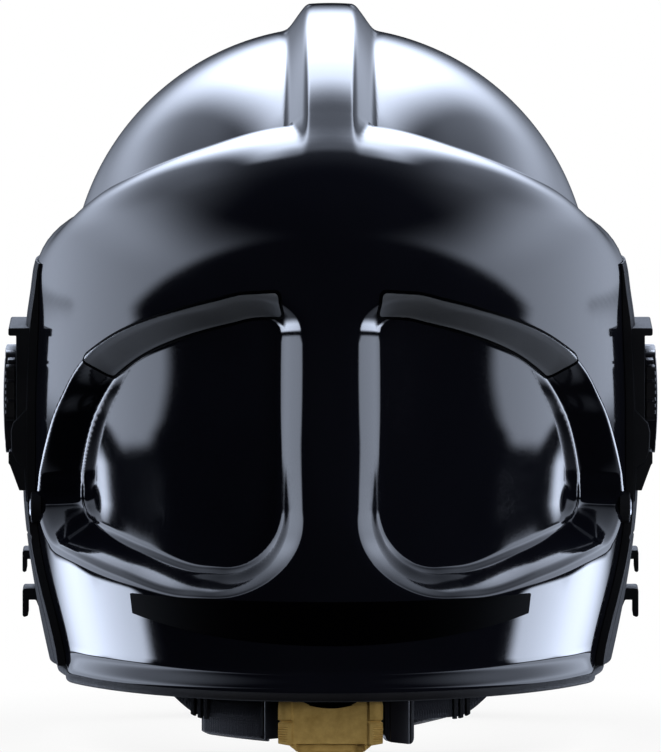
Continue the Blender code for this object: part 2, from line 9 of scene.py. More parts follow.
import bmesh
import bpy
import numpy as np
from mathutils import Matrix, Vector


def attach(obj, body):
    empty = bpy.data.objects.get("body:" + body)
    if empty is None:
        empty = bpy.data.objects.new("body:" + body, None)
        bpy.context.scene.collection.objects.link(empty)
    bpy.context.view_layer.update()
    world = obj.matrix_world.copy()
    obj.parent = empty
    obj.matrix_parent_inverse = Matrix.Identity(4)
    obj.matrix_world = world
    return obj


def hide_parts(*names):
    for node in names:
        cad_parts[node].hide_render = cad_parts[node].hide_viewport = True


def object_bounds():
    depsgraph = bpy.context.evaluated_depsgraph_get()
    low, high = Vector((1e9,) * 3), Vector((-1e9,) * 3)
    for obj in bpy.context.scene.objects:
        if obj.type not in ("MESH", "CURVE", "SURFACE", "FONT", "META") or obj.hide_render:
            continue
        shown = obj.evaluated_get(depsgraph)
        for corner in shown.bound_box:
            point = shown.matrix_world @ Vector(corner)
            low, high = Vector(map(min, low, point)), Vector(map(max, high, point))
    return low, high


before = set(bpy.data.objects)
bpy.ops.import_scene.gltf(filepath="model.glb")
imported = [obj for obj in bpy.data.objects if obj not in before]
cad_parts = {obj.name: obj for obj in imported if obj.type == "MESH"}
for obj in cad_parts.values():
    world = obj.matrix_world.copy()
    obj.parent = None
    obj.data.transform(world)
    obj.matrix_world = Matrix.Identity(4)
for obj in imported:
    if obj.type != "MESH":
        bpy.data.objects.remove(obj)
CAD_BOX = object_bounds()

MM = 0.001
HELMET = "helmet"
BOTH_SIDES = (("left", 1), ("right", -1))

# ---- the shell's driving sizes, the same as the CAD's ------------------------------------
DOME_HALF_WIDTH = 104.0
DOME_HALF_LENGTH = 137.0
DOME_HEIGHT = 104.0
POLE = DOME_HEIGHT * pi / 2
WALL = 3.5
INSET = 2.5
YOKE_HEIGHT = 13.0
YOKE_SIDE_EXTRA = 1.1
YOKE_RISE = 30.0
YOKE_SIDE_STEEPER = 5.0
EDGE_STEP = 0.6           # crisp rolled edge where the yoke meets the dome
CREST_HEIGHT = 9.5
CREST_FLAT = 7.4
CREST_WALL = 11.0
WINDOW_INNER = 22.3
WINDOW_WALL = 10.5
SOFT_WALL_EXTRA = 6.5
WINDOW_HOLLOW = 3.0
FLANGE_HEIGHT = 6.0
FLANGE_START = -141.0
RIM = -150.0
LABEL_TOP = -113.3
BAND_TOP = ((0, 80), (16, 77), (37, 66), (59, 50), (83, 30.5), (120, 28), (150, 42), (180, 56))
WINDOW_TOP = ((0, -2), (16, -3.4), (22, -6), (30, -10), (43, -19), (58, -35), (80, -60))
WINDOW_BOTTOM = ((0, -100), (20, -101), (29, -101), (46, -95), (60, -90), (80, -86))
WINDOW_OUTER = ((-150, 77), (-86, 77), (-75, 73), (-59, 68), (-47, 64), (-35, 59), (0, 50))
RIM_LINE = ((0, RIM), (104, RIM), (118, -125), (128, -70), (136, -30), (146, -15), (180, -13))


# ---- small maths on arrays ---------------------------------------------------------------
def smooth(value):
    value = np.clip(value, 0, 1)
    return value * value * (3 - 2 * value)


def ramp(value, fillet=0.25):
    """A straight slope from 0 to 1 with a round fillet at each end."""
    value = np.clip(value, 0, 1)
    slope = 1 / (1 - fillet)
    low = slope * value * value / (2 * fillet)
    high = 1 - slope * (1 - value) ** 2 / (2 * fillet)
    middle = slope * (value - fillet / 2)
    return np.where(value < fillet, low, np.where(value > 1 - fillet, high, middle))


def follow(curve, position):
    """Value of a curve through its points, with a slope that never overshoots."""
    places, values = (np.array(column, float) for column in zip(*curve))
    steps = np.diff(values) / np.diff(places)
    slopes = np.zeros(len(curve))
    product = steps[:-1] * steps[1:]
    total = np.where(product > 0, steps[:-1] + steps[1:], 1)
    slopes[1:-1] = np.where(product > 0, 2 * product / total, 0)
    position = np.clip(np.asarray(position, float), places[0], places[-1])
    i = np.clip(np.searchsorted(places, position, side="right") - 1, 0, len(curve) - 2)
    width = places[i + 1] - places[i]
    t = (position - places[i]) / width
    start = (1 + 2 * t) * (1 - t) ** 2 * values[i] + t * (1 - t) ** 2 * width * slopes[i]
    end = t * t * (3 - 2 * t) * values[i + 1] + t * t * (t - 1) * width * slopes[i + 1]
    return start + end


# ---- the shell's surface -----------------------------------------------------------------
def side_tuck(level):
    """How far the sides draw in towards the rim."""
    return 10.8 * np.clip((-level - 80) / 70, 0, None) ** 1.5


def base_point(azimuth, level):
    """Plain dome with nearly upright sides. Level is height below 0 and dome arc above it."""
    arc = np.clip(level, 0, None) / DOME_HEIGHT
    swell = 1.5 * smooth(-level / 50)
    width = np.where(level >= 0, np.cos(arc), 1 + (swell - side_tuck(level)) / DOME_HALF_WIDTH)
    height = np.where(level >= 0, DOME_HEIGHT * np.sin(arc), level)
    return np.stack([
        DOME_HALF_WIDTH * width * np.sin(azimuth),
        DOME_HALF_LENGTH * width * np.cos(azimuth),
        height,
    ], -1)


def base_normal(azimuth, level):
    """Which way reliefs and plates stand off the dome: level with the ground on its sides."""
    level = np.minimum(level, POLE - 0.5)
    along = base_point(azimuth + 0.001, level) - base_point(azimuth - 0.001, level)
    up = base_point(azimuth, level + 0.1) - base_point(azimuth, level - 0.1)
    normal = np.cross(along, up)
    normal[..., 2] = np.where(level < 0, 0, normal[..., 2])
    normal /= np.linalg.norm(normal, axis=-1, keepdims=True)
    outward = np.sign((normal * base_point(azimuth, level)).sum(-1))
    return normal * outward[..., None]


def window_distance(azimuth, level):
    """Distance outside the floor of the recessed window, and how soft its wall is there.

    The distance is negative on the floor. The ridge wall is soft, the bottom wall less so, and
    the others are crisp.
    """
    turn = np.abs(azimuth)
    around = DOME_HALF_WIDTH * turn + 33.0 * (turn / 2 - np.sin(2 * turn) / 4)
    edge = np.radians(follow(WINDOW_OUTER, level))
    outer = DOME_HALF_WIDTH * edge + 33.0 * (edge / 2 - np.sin(2 * edge) / 4)
    corner = 6.5 + 15.5 * smooth((-level - 20) / 50)
    inner = np.maximum(WINDOW_INNER + corner - around, 0)
    outer = np.maximum(around - outer + corner, 0)
    above = np.maximum(level - follow(WINDOW_TOP, np.degrees(turn)) + corner, 0)
    below = np.maximum(follow(WINDOW_BOTTOM, np.degrees(turn)) + corner - level, 0)
    distance = np.hypot(np.maximum(inner, outer), np.maximum(above, below)) - corner
    total = inner ** 2 + below ** 2 + outer ** 2 + above ** 2
    softness = (inner ** 2 + 0.45 * below ** 2) / (total + 0.01)
    return distance, softness


def relief(azimuth, level, inset=0.0):
    """How far the shell's skin stands off the plain dome."""
    turn = np.abs(np.degrees(azimuth))
    below_edge = follow(BAND_TOP, turn) - inset - level
    sideness = np.sin(azimuth) ** 2
    reach = np.clip(below_edge / (YOKE_RISE - YOKE_SIDE_STEEPER * sideness), 0, 1)
    height = YOKE_HEIGHT + YOKE_SIDE_EXTRA * sideness
    step = EDGE_STEP * ramp(below_edge / 1.4, 0.4)
    yoke = step + (height - EDGE_STEP) * (1 - (1 - reach) ** 2)
    distance, softness = window_distance(azimuth, level)
    rise = ramp((distance - inset) / (WINDOW_WALL + SOFT_WALL_EXTRA * softness), 0.25 + 0.05 * softness)
    yoke = yoke * rise
    hollow = (WINDOW_HOLLOW * ramp((-level - 46) / 54, 0.35) - side_tuck(level)) * (1 - rise)
    across = np.abs(base_point(azimuth, level)[..., 0]) + inset
    crest = CREST_HEIGHT * (1 - ramp((across - CREST_FLAT) / CREST_WALL))
    crest = crest * smooth((level - 35) / 40)
    blended = (yoke ** 4 + crest ** 4) ** 0.25
    flare = FLANGE_HEIGHT * smooth((FLANGE_START - level) / (FLANGE_START - RIM))
    return blended - hollow + flare * (1 - smooth((turn - 62) / 14))


def shell_point(azimuth, level, lift=0.0):
    lift = relief(azimuth, level) + lift
    return base_point(azimuth, level) + base_normal(azimuth, level) * np.asarray(lift)[..., None]


def shell_inner_point(azimuth, level):
    lift = relief(azimuth, level, INSET) - WALL
    return base_point(azimuth, level) + base_normal(azimuth, level) * lift[..., None]


# ---- mesh helpers ------------------------------------------------------------------------
def grid_faces(columns, rows, closed, start=0, flipped=False):
    """Quads of a grid whose points run row by row within each column."""
    count = columns if closed else columns - 1
    i, j = np.meshgrid(np.arange(count), np.arange(rows - 1), indexing="ij")
    k = (i + 1) % columns
    quads = np.stack([i * rows + j, k * rows + j, k * rows + j + 1, i * rows + j + 1], -1).reshape(-1, 4)
    return (quads[:, ::-1] if flipped else quads) + start


def mesh_piece(name, points, faces, material, body=HELMET, sharp=45, weld=True):
    """A piece from points in millimetres, welded, with its faces pointing out."""
    mesh = bpy.data.meshes.new(name)
    mesh.from_pydata(np.asarray(points, float) * MM, [], [tuple(face) for face in faces])
    bm = bmesh.new()
    bm.from_mesh(mesh)
    if weld:
        bmesh.ops.remove_doubles(bm, verts=bm.verts, dist=0.000004)
    bmesh.ops.recalc_face_normals(bm, faces=bm.faces)
    bm.to_mesh(mesh)
    bm.free()
    mesh.shade_smooth()
    mesh.set_sharp_from_angle(angle=radians(sharp))
    piece = bpy.data.objects.new(name, mesh)
    piece.data.materials.append(material)
    bpy.context.scene.collection.objects.link(piece)
    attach(piece, body)
    return piece


def slab(name, low, high, material, body=HELMET, closed=False, flip=1, edge=0.0, sharp=45):
    """A closed block between two grids of points, (columns, rows, 3), with edges rounded by edge."""
    columns, rows = low.shape[:2]
    size = columns * rows
    points = np.concatenate([low.reshape(-1, 3), high.reshape(-1, 3)]) * [flip, 1, 1]
    faces = [grid_faces(columns, rows, closed), grid_faces(columns, rows, closed, size, True)]
    rim = [i * rows for i in range(columns)], [i * rows + rows - 1 for i in range(columns)]
    for line in rim:
        pairs = zip(line, line[1:] + line[:1] if closed else line[1:])
        faces.append(np.array([(a, b, b + size, a + size) for a, b in pairs]))
    if not closed:
        for start in (0, (columns - 1) * rows):
            line = range(start, start + rows)
            faces.append(np.array([(a, b, b + size, a + size) for a, b in zip(line, line[1:])]))
    piece = mesh_piece(name, points, np.concatenate(faces), material, body, sharp)
    if edge:
        soften(piece, edge)
    return piece


def soften(piece, width, segments=3, angle=40):
    """Round the piece's sharp edges, width in millimetres."""
    bevel = piece.modifiers.new("edges", "BEVEL")
    bevel.width = width * MM
    bevel.segments = segments
    bevel.limit_method = "ANGLE"
    bevel.angle_limit = radians(angle)
    bevel.harden_normals = True
    return piece


# ---- shapes built from grids -------------------------------------------------------------
def spread(start, end, count):
    """Values from start to end that are closest together near both ends."""
    steps = (1 - np.cos(np.linspace(0, pi, count))) / 2
    return start + (end - start) * steps


def patch(name, columns, rows, low, high, material, body=HELMET, closed=False, flip=1, edge=0.0, sharp=45):
    """A block between two surfaces, each a function of the column and row positions."""
    u, v = np.meshgrid(np.asarray(columns, float), np.asarray(rows, float), indexing="ij")
    return slab(name, low(u, v), high(u, v), material, body, closed, flip, edge, sharp)


def tile(name, length, height, radius, place, low, high, material, body=HELMET, flip=1, edge=0.25,
         columns=36, rows=12, sharp=45):
    """A plate with round corners: place(s, t, lift) bends it, low and high are its two faces.

    The faces are lifts in millimetres, as numbers or as functions of s and t.
    """
    s, v = np.meshgrid(spread(-length / 2, length / 2, columns), spread(-1, 1, rows), indexing="ij")
    into_corner = np.clip(np.abs(s) - (length / 2 - radius), 0, radius)
    t = v * (height / 2 - radius + np.sqrt(radius ** 2 - into_corner ** 2))
    faces = []
    for face in (low, high):
        lift = face(s, t) if callable(face) else np.full_like(s, face)
        faces.append(place(s, t, lift))
    return slab(name, faces[0], faces[1], material, body, flip=flip, edge=edge, sharp=sharp)


def flat_place(centre, along, across, outward):
    """A place function for a flat tile."""
    centre, along, across, outward = (np.array(value, float) for value in (centre, along, across, outward))

    def place(s, t, lift):
        return centre + s[..., None] * along + t[..., None] * across + lift[..., None] * outward
    return place


def turned(name, profile, centre, axis, material, body=HELMET, sides=48, lobes=(), lobe_count=6, sharp=35):
    """A turned piece: (radius, height) points round an axis. Rings named in lobes get a socket's flats."""
    axis = np.array(axis, float) / np.linalg.norm(axis)
    first = np.cross(axis, [0, 0, 1] if abs(axis[2]) < 0.9 else [1, 0, 0])
    first /= np.linalg.norm(first)
    second = np.cross(axis, first)
    angle = np.linspace(0, 2 * pi, sides, endpoint=False)
    rings = []
    for number, (radius, height) in enumerate(profile):
        size = radius * (1 + 0.09 * np.cos(lobe_count * angle)) if number in lobes else radius
        ring = (size * np.cos(angle))[:, None] * first + (size * np.sin(angle))[:, None] * second
        rings.append(np.array(centre, float) + ring + height * axis)
    points = np.stack(rings, 1)
    faces = grid_faces(sides, len(profile), True)
    return mesh_piece(name, points.reshape(-1, 3), faces, material, body, sharp)


def prism(name, outline, low, high, place, material, body=HELMET, edge=0.4):
    """A flat outline of (a, b) points, made solid between two depths. place(a, b, depth) sets it."""
    count = len(outline)
    points = [place(a, b, depth) for depth in (low, high) for a, b in outline]
    faces = [list(range(count)), list(range(count, 2 * count))[::-1]]
    for i in range(count):
        k = (i + 1) % count
        faces.append([i, k, k + count, i + count])
    mesh = bpy.data.meshes.new(name)
    mesh.from_pydata(np.array(points, float) * MM, [], faces)
    bm = bmesh.new()
    bm.from_mesh(mesh)
    bmesh.ops.recalc_face_normals(bm, faces=bm.faces)
    bm.to_mesh(mesh)
    bm.free()
    mesh.shade_smooth()
    mesh.set_sharp_from_angle(angle=radians(35))
    piece = bpy.data.objects.new(name, mesh)
    piece.data.materials.append(material)
    bpy.context.scene.collection.objects.link(piece)
    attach(piece, body)
    soften(piece, edge)
    return piece


def stand_for(piece, slot, *nodes):
    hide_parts(*nodes)
    return piece


def stitches(name, route, pitch, length, radius, material, body=HELMET):
    """Short thread stitches along a route of points in millimetres."""
    route = np.array(route, float)
    steps = np.linalg.norm(np.diff(route, axis=0), axis=1)
    along = np.concatenate([[0], np.cumsum(steps)])
    points, faces = [], []
    for start in np.arange(pitch * 0.3, along[-1] - length, pitch):
        ends = [
            np.array([np.interp(at, along, route[:, k]) for k in range(3)])
            for at in (start, start + length)
        ]
        axis = ends[1] - ends[0]
        axis /= np.linalg.norm(axis)
        side = np.cross(axis, [0.31, 0.83, 0.47])
        side /= np.linalg.norm(side)
        other = np.cross(axis, side)
        base = len(points)
        for share, size in ((0, 0.35), (0.2, 1), (0.8, 1), (1, 0.35)):
            middle = ends[0] + (ends[1] - ends[0]) * share
            for k in range(6):
                turn = k * pi / 3
                points.append(middle + (side * cos(turn) + other * sin(turn)) * radius * size)
        for ring in range(3):
            for k in range(6):
                a, b = base + ring * 6 + k, base + ring * 6 + (k + 1) % 6
                faces.append([a, b, b + 6, a + 6])
        faces.append([base + k for k in range(6)])
        faces.append([base + 18 + k for k in range(6)][::-1])
    return mesh_piece(name, points, faces, material, body, weld=False) if points else None


# ---- outer shell -------------------------------------------------------------------------
def shell_columns():
    """Azimuths round the helmet, closest together at the ridge walls and the windows' outer walls."""
    half = [0, 1.2, 2.4, 3.5]
    half += list(np.arange(4.2, 12.2, 0.45))
    half += list(np.arange(12.6, 58, 0.9))
    half += list(np.arange(58.4, 84, 0.4))
    half += list(np.arange(84.5, 165, 2.3))
    half += list(np.arange(166, 180, 1.2))
    half = np.array(half)
    return np.radians(np.concatenate([-half[:0:-1], half, [180.0]]))


def shell_levels(azimuth):
    """Levels of the mesh rows at each azimuth: they follow the shell's feature curves."""
    turn = np.abs(np.degrees(azimuth))
    bottom = follow(WINDOW_BOTTOM, turn)
    top = follow(WINDOW_TOP, turn)
    edge = follow(BAND_TOP, turn)
    guides = [
        (np.full_like(turn, RIM), 10), (np.full_like(turn, FLANGE_START), 16),
        (bottom - WINDOW_WALL - 1.5, 14), (bottom + 1.5, 18), (bottom + 0.28 * (top - bottom), 22),
        (top - 3, 16), (top + WINDOW_WALL + 1.5, 24), (edge - 3.5, 16), (edge + 2, 56),
        (np.full_like(turn, POLE), 0),
    ]
    rows = []
    for (start, count), (end, _) in zip(guides, guides[1:]):
        for step in range(count):
            rows.append(start + (end - start) * step / count)
    rows.append(guides[-1][0])
    levels = np.stack(rows, -1)
    rim = follow(RIM_LINE, turn)[:, None]
    knee = (edge - 3.5)[:, None]
    squeezed = rim + (knee - rim) * (levels - RIM) / (knee - RIM)
    return np.where(levels < knee, squeezed, levels)


def make_shell(look):
    azimuth = shell_columns()[:-1]
    levels = shell_levels(azimuth)
    turn = np.repeat(azimuth[:, None], levels.shape[1], 1)
    outer = shell_point(turn, levels)
    picked = np.unique(np.concatenate([np.arange(0, levels.shape[1], 6), [levels.shape[1] - 1]]))
    inner = shell_inner_point(turn[:, picked], levels[:, picked])
    lip = []
    middle = (outer[:, 0] + inner[:, 0]) / 2
    half = (outer[:, 0] - inner[:, 0]) / 2
    drop = np.linalg.norm(half, axis=-1, keepdims=True) * np.array([0, 0, -1.0])
    for step in range(1, 6):
        lip.append(middle - half * cos(pi * step / 6) + drop * sin(pi * step / 6))
    rows = np.concatenate([inner[:, ::-1], np.stack(lip, 1), outer], 1)
    faces = grid_faces(rows.shape[0], rows.shape[1], True)
    shell = mesh_piece("shell_skin", rows.reshape(-1, 3), faces, look["shell"], sharp=60)
    stand_for(shell, "shell_gloss", "outer_shell")


def make_rim_seal(look):
    """Rubber channel that wraps the rim."""
    azimuth = shell_columns()[::2][:-1]
    level = follow(RIM_LINE, np.abs(np.degrees(azimuth)))
    outer, inner = shell_point(azimuth, level), shell_inner_point(azimuth, level)
    middle = (outer + inner) / 2
    outward = outer - inner
    outward[:, 2] = 0
    outward /= np.linalg.norm(outward, axis=-1, keepdims=True)
    rings = []
    for angle in np.linspace(0, 2 * pi, 20, endpoint=False):
        wide = np.sign(cos(angle)) * abs(cos(angle)) ** 0.6 * 2.5
        high = np.sign(sin(angle)) * abs(sin(angle)) ** 0.6 * 1.9 - 1.3
        rings.append(middle + outward * wide + np.array([0, 0, high]))
    points = np.stack(rings, 1)
    columns, rows = points.shape[:2]
    i, j = np.meshgrid(np.arange(columns), np.arange(rows), indexing="ij")
    k, m = (i + 1) % columns, (j + 1) % rows
    faces = np.stack([i * rows + j, k * rows + j, k * rows + m, i * rows + m], -1).reshape(-1, 4)
    seal = mesh_piece("rim_seal", points.reshape(-1, 3), faces, look["rubber"])
    stand_for(seal, "rubber_black", "rim_trim")


# ---- films, label and badge --------------------------------------------------------------
STRIP_START = 9.8
STRIP_END = 54.5
STRIP_LENGTH = 87.0


def strip_place(grow=0.0):
    def place(s, t, lift):
        turn = np.radians(STRIP_START + (STRIP_END - STRIP_START) * (s / STRIP_LENGTH + 0.5))
        level = follow(WINDOW_TOP, np.degrees(turn)) + 5.6 + t
        return shell_point(turn, level, lift + grow)
    return place


def make_films(look):
    for side, sign in BOTH_SIDES:
        film = tile(f"strip_film_{side}", STRIP_LENGTH, 8.6, 1.6, strip_place(), 0.05, 0.5, look["film"],
                    flip=sign, edge=0.12, columns=90, rows=12)
        stand_for(film, "reflective_grey", f"reflective_strip_{side}")
        # The black border round each film is painted shade: a dark sheet that stands for the shadowed groove
        # between the film and the yoke's lower edge.
        border = tile(f"strip_groove_shade_sheet_{side}", STRIP_LENGTH + 2.4, 11.0, 2.6, strip_place(), 0.02, 0.24,
                      look["label"], flip=sign, edge=0.06, columns=90, rows=10)

    def label_place(s, t, lift):
        turn = np.radians(s)
        foot = -131 + 8.7 * (s / 40) ** 2
        return shell_point(turn, foot + (LABEL_TOP - foot) * (t / 2 + 0.5), lift)
    label = tile("label_film", 84.6, 2.0, 0.12, label_place, 0.05, 0.4, look["label"], edge=0.1,
                 columns=110, rows=10)
    stand_for(label, "label_black", "rear_label_plate")

    def badge_place(s, t, lift):
        return shell_point(pi + s / DOME_HALF_LENGTH * 1.25, 17 + t, lift)

    def badge_face(s, t):
        border = np.maximum(np.abs(s) / 24.5, np.abs(t) / 15.2)
        return 1.9 + 0.7 * smooth((border - 0.86) / 0.05)
    badge = tile("front_badge", 53, 33, 6.0, badge_place, 0.2, badge_face, look["badge"], edge=0.3,
                 columns=60, rows=40)
    stand_for(badge, "plate_metal", "front_plate")


# ---- side fittings -----------------------------------------------------------------------
RAIL_FRONT, RAIL_BACK = -34.0, 26.0
HOOK_FRONT, HOOK_BACK = -37.0, -15.0


def side_width(y, z):
    """Distance of the shell's outer skin from the middle plane, at a place on its side."""
    y, z = np.broadcast_arrays(np.asarray(y, float), np.asarray(z, float))
    turn = pi / 2 - np.arcsin(np.clip(y / DOME_HALF_LENGTH, -1, 1))
    level = z.copy()
    for _ in range(8):
        point = shell_point(turn, level)
        turn = turn - (y - point[..., 1]) / DOME_HALF_LENGTH
        level = level + z - point[..., 2]
    return shell_point(turn, level)[..., 0]


def stack(x, y, z):
    return np.stack(np.broadcast_arrays(x, y, z), -1)


def make_side_plate(look, side, sign):
    def place(across, level, lift):
        back = 79.5 - 6 * smooth((-95 - level) / 45)
        front = 106 - 11.5 * smooth((-91 - level) / 13)
        return shell_point(np.radians(back + (front - back) * across), level, lift)

    def face(across, level):
        lift = 1.0 + 2.4 * smooth((10 - level) / 26)
        groove = smooth(1 - np.abs(across - 0.16) / 0.035) + smooth(1 - np.abs(level + 98) / 0.9)
        return lift - 0.55 * np.clip(groove, 0, 1)

    levels = np.concatenate([spread(-148.5, -90, 90), spread(-89, 10, 110)])
    plate = patch(
        f"side_panel_{side}", spread(0, 1, 64), levels,
        lambda u, v: place(u, v, np.full_like(u, 0.2)), lambda u, v: place(u, v, face(u, v)),
        look["matte"], flip=sign, edge=0.5,
    )
    stand_for(plate, "matte_black", f"side_plate_{side}")


def make_rail(look, side, sign):
    profile = [
        (124.2, -79.5), (127.9, -69.4), (128.5, -68.6), (128.5, -64.4), (128.0, -63.9), (125.4, -63.9),
        (125.4, -17.6), (128.0, -17.6), (128.5, -17.1), (128.5, -15.0), (128.0, -14.5),
    ]
    heights = np.array([z for _, z in profile])
    widths = np.array([x for x, _ in profile])
    columns = np.concatenate([[RAIL_FRONT], spread(RAIL_FRONT + 0.4, RAIL_BACK - 0.4, 20), [RAIL_BACK]])
    y, _ = np.meshgrid(columns, heights, indexing="ij")
    high = stack(np.repeat(widths[None], len(columns), 0), y, heights)
    low = stack(side_width(y, np.repeat(heights[None], len(columns), 0)) + 3.3, y, heights)
    rail = slab(f"side_rail_body_{side}", low, high, look["matte"], flip=sign, edge=0.3)
    stand_for(rail, "matte_black", f"side_rail_{side}")

    def cover_place(s, t, lift):
        return stack(128.4 + lift, -11 + s, -45.5 + t)

    def cover_face(s, t):
        crown = 2.6 - 0.9 * (t / 20.5) ** 2 - 0.5 * (s / 19) ** 2
        frame_line = np.maximum(np.abs(s) / 15.5, np.abs(t) / 17.0)
        groove = smooth(1 - np.abs(frame_line - 1) / 0.05)
        return crown - 0.4 * groove
    cover = tile(f"rail_cap_{side}", 38, 41, 3.0, cover_place, -2.6, cover_face, look["satin"], flip=sign,
                 edge=0.5, columns=60, rows=60)
    stand_for(cover, "satin_black", f"rail_cover_{side}")

    def latch_face(s, t):
        rib_area = smooth((9.2 - np.abs(t)) / 1.2) * smooth((4.9 - np.abs(s)) / 0.8)
        ribs = 0.45 * np.cos(2 * pi * t / 2.6) * rib_area
        return 2.0 - 0.5 + ribs
    latch = tile(
        f"rail_button_{side}", 12, 22, 2.0, lambda s, t, lift: stack(128.0 + lift, 16 + s, -41 + t),
        -1.9, latch_face, look["rubber"], f"latch_{side}", sign, 0.3, 20, 90,
    )
    stand_for(latch, "rubber_black", f"rail_latch_{side}")

    bracket = [
        (116.5, -17), (119.4, -17), (120.9, -30), (121.6, -47), (126.7, -52.5), (127.5, -56), (127.2, -64),
        (125.2, -68.5), (122.3, -70.5), (121.6, -84), (118.5, -84),
    ]
    flank = prism(
        f"rail_flank_{side}", bracket, RAIL_BACK - 2.2, RAIL_BACK + 0.9,
        lambda x, z, y: (sign * x, y, z), look["matte"], edge=0.6,
    )
    teeth = []
    for step in range(7):
        z = -27.5 - step * 2.6
        teeth.append([(126.4, z), (129.2, z), (129.2, z - 1.2), (126.4, z - 1.2)])
    for number, outline in enumerate(teeth):
        tooth = prism(f"rail_tooth_{side}_{number}", outline, 9.6, 10.2 + 12.5 * (number % 3 == 0),
                      lambda x, z, y: (sign * (x - 0.4), y, z), look["satin"], edge=0.2)


def make_hook(look, side, sign):
    """Two hooked tabs on a base, with a slot between them for a mask strap."""
    outline = [
        (116.4, -107.0), (123.0, -107.0), (123.6, -107.7), (123.6, -115.4), (122.9, -116.0), (121.9, -115.4),
        (121.9, -110.6), (119.0, -110.6), (118.6, -122.4), (123.0, -122.4), (123.6, -123.1), (123.6, -133.4),
        (122.9, -134.0), (121.3, -133.4), (121.3, -127.0), (118.2, -127.0), (115.4, -134.0), (112.2, -134.0),
    ]
    hook = prism(f"mask_hook_body_{side}", outline, HOOK_FRONT, HOOK_BACK,
                 lambda x, z, y: (sign * x, y, z), look["matte"], edge=0.45)
    stand_for(hook, "matte_black", f"mask_hook_{side}")


def make_screws(look, side, sign):
    profile = [
        (0.02, -3.0), (4.2, -3.0), (4.3, 0.1), (4.15, 0.7), (3.6, 1.25), (2.6, 1.6), (1.95, 1.68),
        (1.8, 1.5), (1.7, -0.4), (0.02, -0.5),
    ]
    for number, (y, z) in enumerate(((-24, -86), (28, -86)), 1):
        seat = float(side_width(y, z)) + (3.6 if y < 0 else 1.2)
        screw = turned(f"panel_screw_{side}_{number}", profile, (sign * seat, y, z), (sign, 0, 0),
                       look["steel"], lobes=(7, 8))
        stand_for(screw, "steel", f"side_screw_{side}_{number}")
        if y > 0:
            washer = turned(
                f"screw_boss_{side}",
                [(0.02, -3), (6.2, -3), (6.2, 0.6), (5.6, 1.1), (4.5, 1.15), (4.5, 0.2), (0.02, 0.2)],
                (sign * seat, y, z), (sign, 0, 0), look["matte"],
            )


def make_side_fittings(look):
    for side, sign in BOTH_SIDES:
        make_side_plate(look, side, sign)
        make_rail(look, side, sign)
        make_hook(look, side, sign)
        make_screws(look, side, sign)


# ---- crest lamp --------------------------------------------------------------------------
def make_lamp(look):
    face_y = -133.0
    tail_y, tail_z = -84.0, 96.5

    def seat(u, v):
        level = 54 + 46 * v
        x = np.clip(12.6 * u, -12.6, 12.6)
        azimuth = pi - np.arcsin(x / (DOME_HALF_WIDTH * np.cos(level / DOME_HEIGHT)))
        return shell_point(azimuth, level, 0.3)

    def top(u, v):
        round_off = 1 - (1 - np.abs(u)) ** 2.6
        crown = 2.6 * np.abs(u) ** 4
        nose = smooth((0.3 - v) / 0.06)
        climb = 58.5 + 24 * np.clip(v / 0.3, 0, 1)
        front = stack(12.6 * u, face_y + 2.4 * round_off ** 6, climb - crown * (v > 0.2))
        back = (np.clip(v, 0.3, 1) - 0.3) / 0.7
        rise = 82.5 + (tail_z - 82.5) * back ** 0.85
        setback = face_y + 2.0 + (tail_y - face_y - 2.0) * back
        rear = stack(12.6 * u * (1 - 0.12 * back), setback, rise - crown)
        return front * nose[..., None] + rear * (1 - nose[..., None])

    rows = np.concatenate([np.linspace(0, 0.24, 10), np.linspace(0.25, 0.36, 14), np.linspace(0.38, 1, 26)])
    body = patch("lamp_body", np.sin(np.linspace(-pi / 2, pi / 2, 30)), rows, seat, top, look["matte"],
                 edge=0.5, sharp=40)
    stand_for(body, "matte_black", "crest_lamp_housing")
    centre, forward = (0, face_y, 70), (0, -1, 0)
    bezel = turned("lamp_bezel", [(8.7, -1.0), (10.6, -1.0), (10.7, 0.9), (10.2, 1.5), (9.3, 1.6), (8.9, 1.2),
                                  (8.7, 0.4), (8.7, -1.0)], centre, forward, look["satin"])
    cup = turned("lamp_reflector", [(0.02, 0.1), (1.6, 0.12), (3.2, 0.3), (5.2, 0.7), (7.2, 1.3), (8.5, 1.9),
                                    (8.6, 1.7), (8.6, 0.0), (0.02, 0.0)], centre, forward, look["mirror"])
    led = turned("lamp_emitter", [(0.02, 1.3), (0.8, 1.2), (1.3, 0.8), (1.4, 0.15), (0.02, 0.15)],
                 centre, forward, look["led"], sides=24)
    lens = turned("lamp_window", [(0.02, 3.0), (2.5, 2.9), (5.0, 2.6), (7.2, 2.1), (8.4, 1.5), (8.4, 1.1),
                                  (7.0, 1.5), (4.5, 2.0), (2.2, 2.25), (0.02, 2.3)],
                  centre, forward, look["lens"])
    stand_for(lens, "lamp_lens", "lamp_lens")
    slope = np.array([0, tail_y - (face_y + 5), tail_z - 84.0])
    slope /= np.linalg.norm(slope)
    out = np.array([0, -slope[2], slope[1]])
    start = np.array([0, face_y + 5, 84.0])
    middle = start + (np.array([0, tail_y, tail_z]) - start) * 0.42
    button = turned(
        "lamp_switch_cap", [(0.02, 2.85), (2.6, 2.9), (3.2, 3.25), (4.2, 3.25), (4.75, 2.8), (4.85, 1.75),
                            (0.02, 1.75)], middle, out, look["rubber"], "lamp_switch")
    stand_for(button, "rubber_black", "lamp_button")
    ring = turned(
        "lamp_switch_ring", [(5.2, -0.6), (6.8, -0.6), (6.6, 1.6), (6.1, 2.2), (5.5, 2.1), (5.2, -0.6)],
        middle, out, look["satin"],
    )


# ---- face shield -------------------------------------------------------------------------
SHIELD_PIVOT = np.array([0.0, 10.0, -45.0])
SHIELD_RADIUS = 143.0
SHIELD_HALF_WIDTH = 111.0


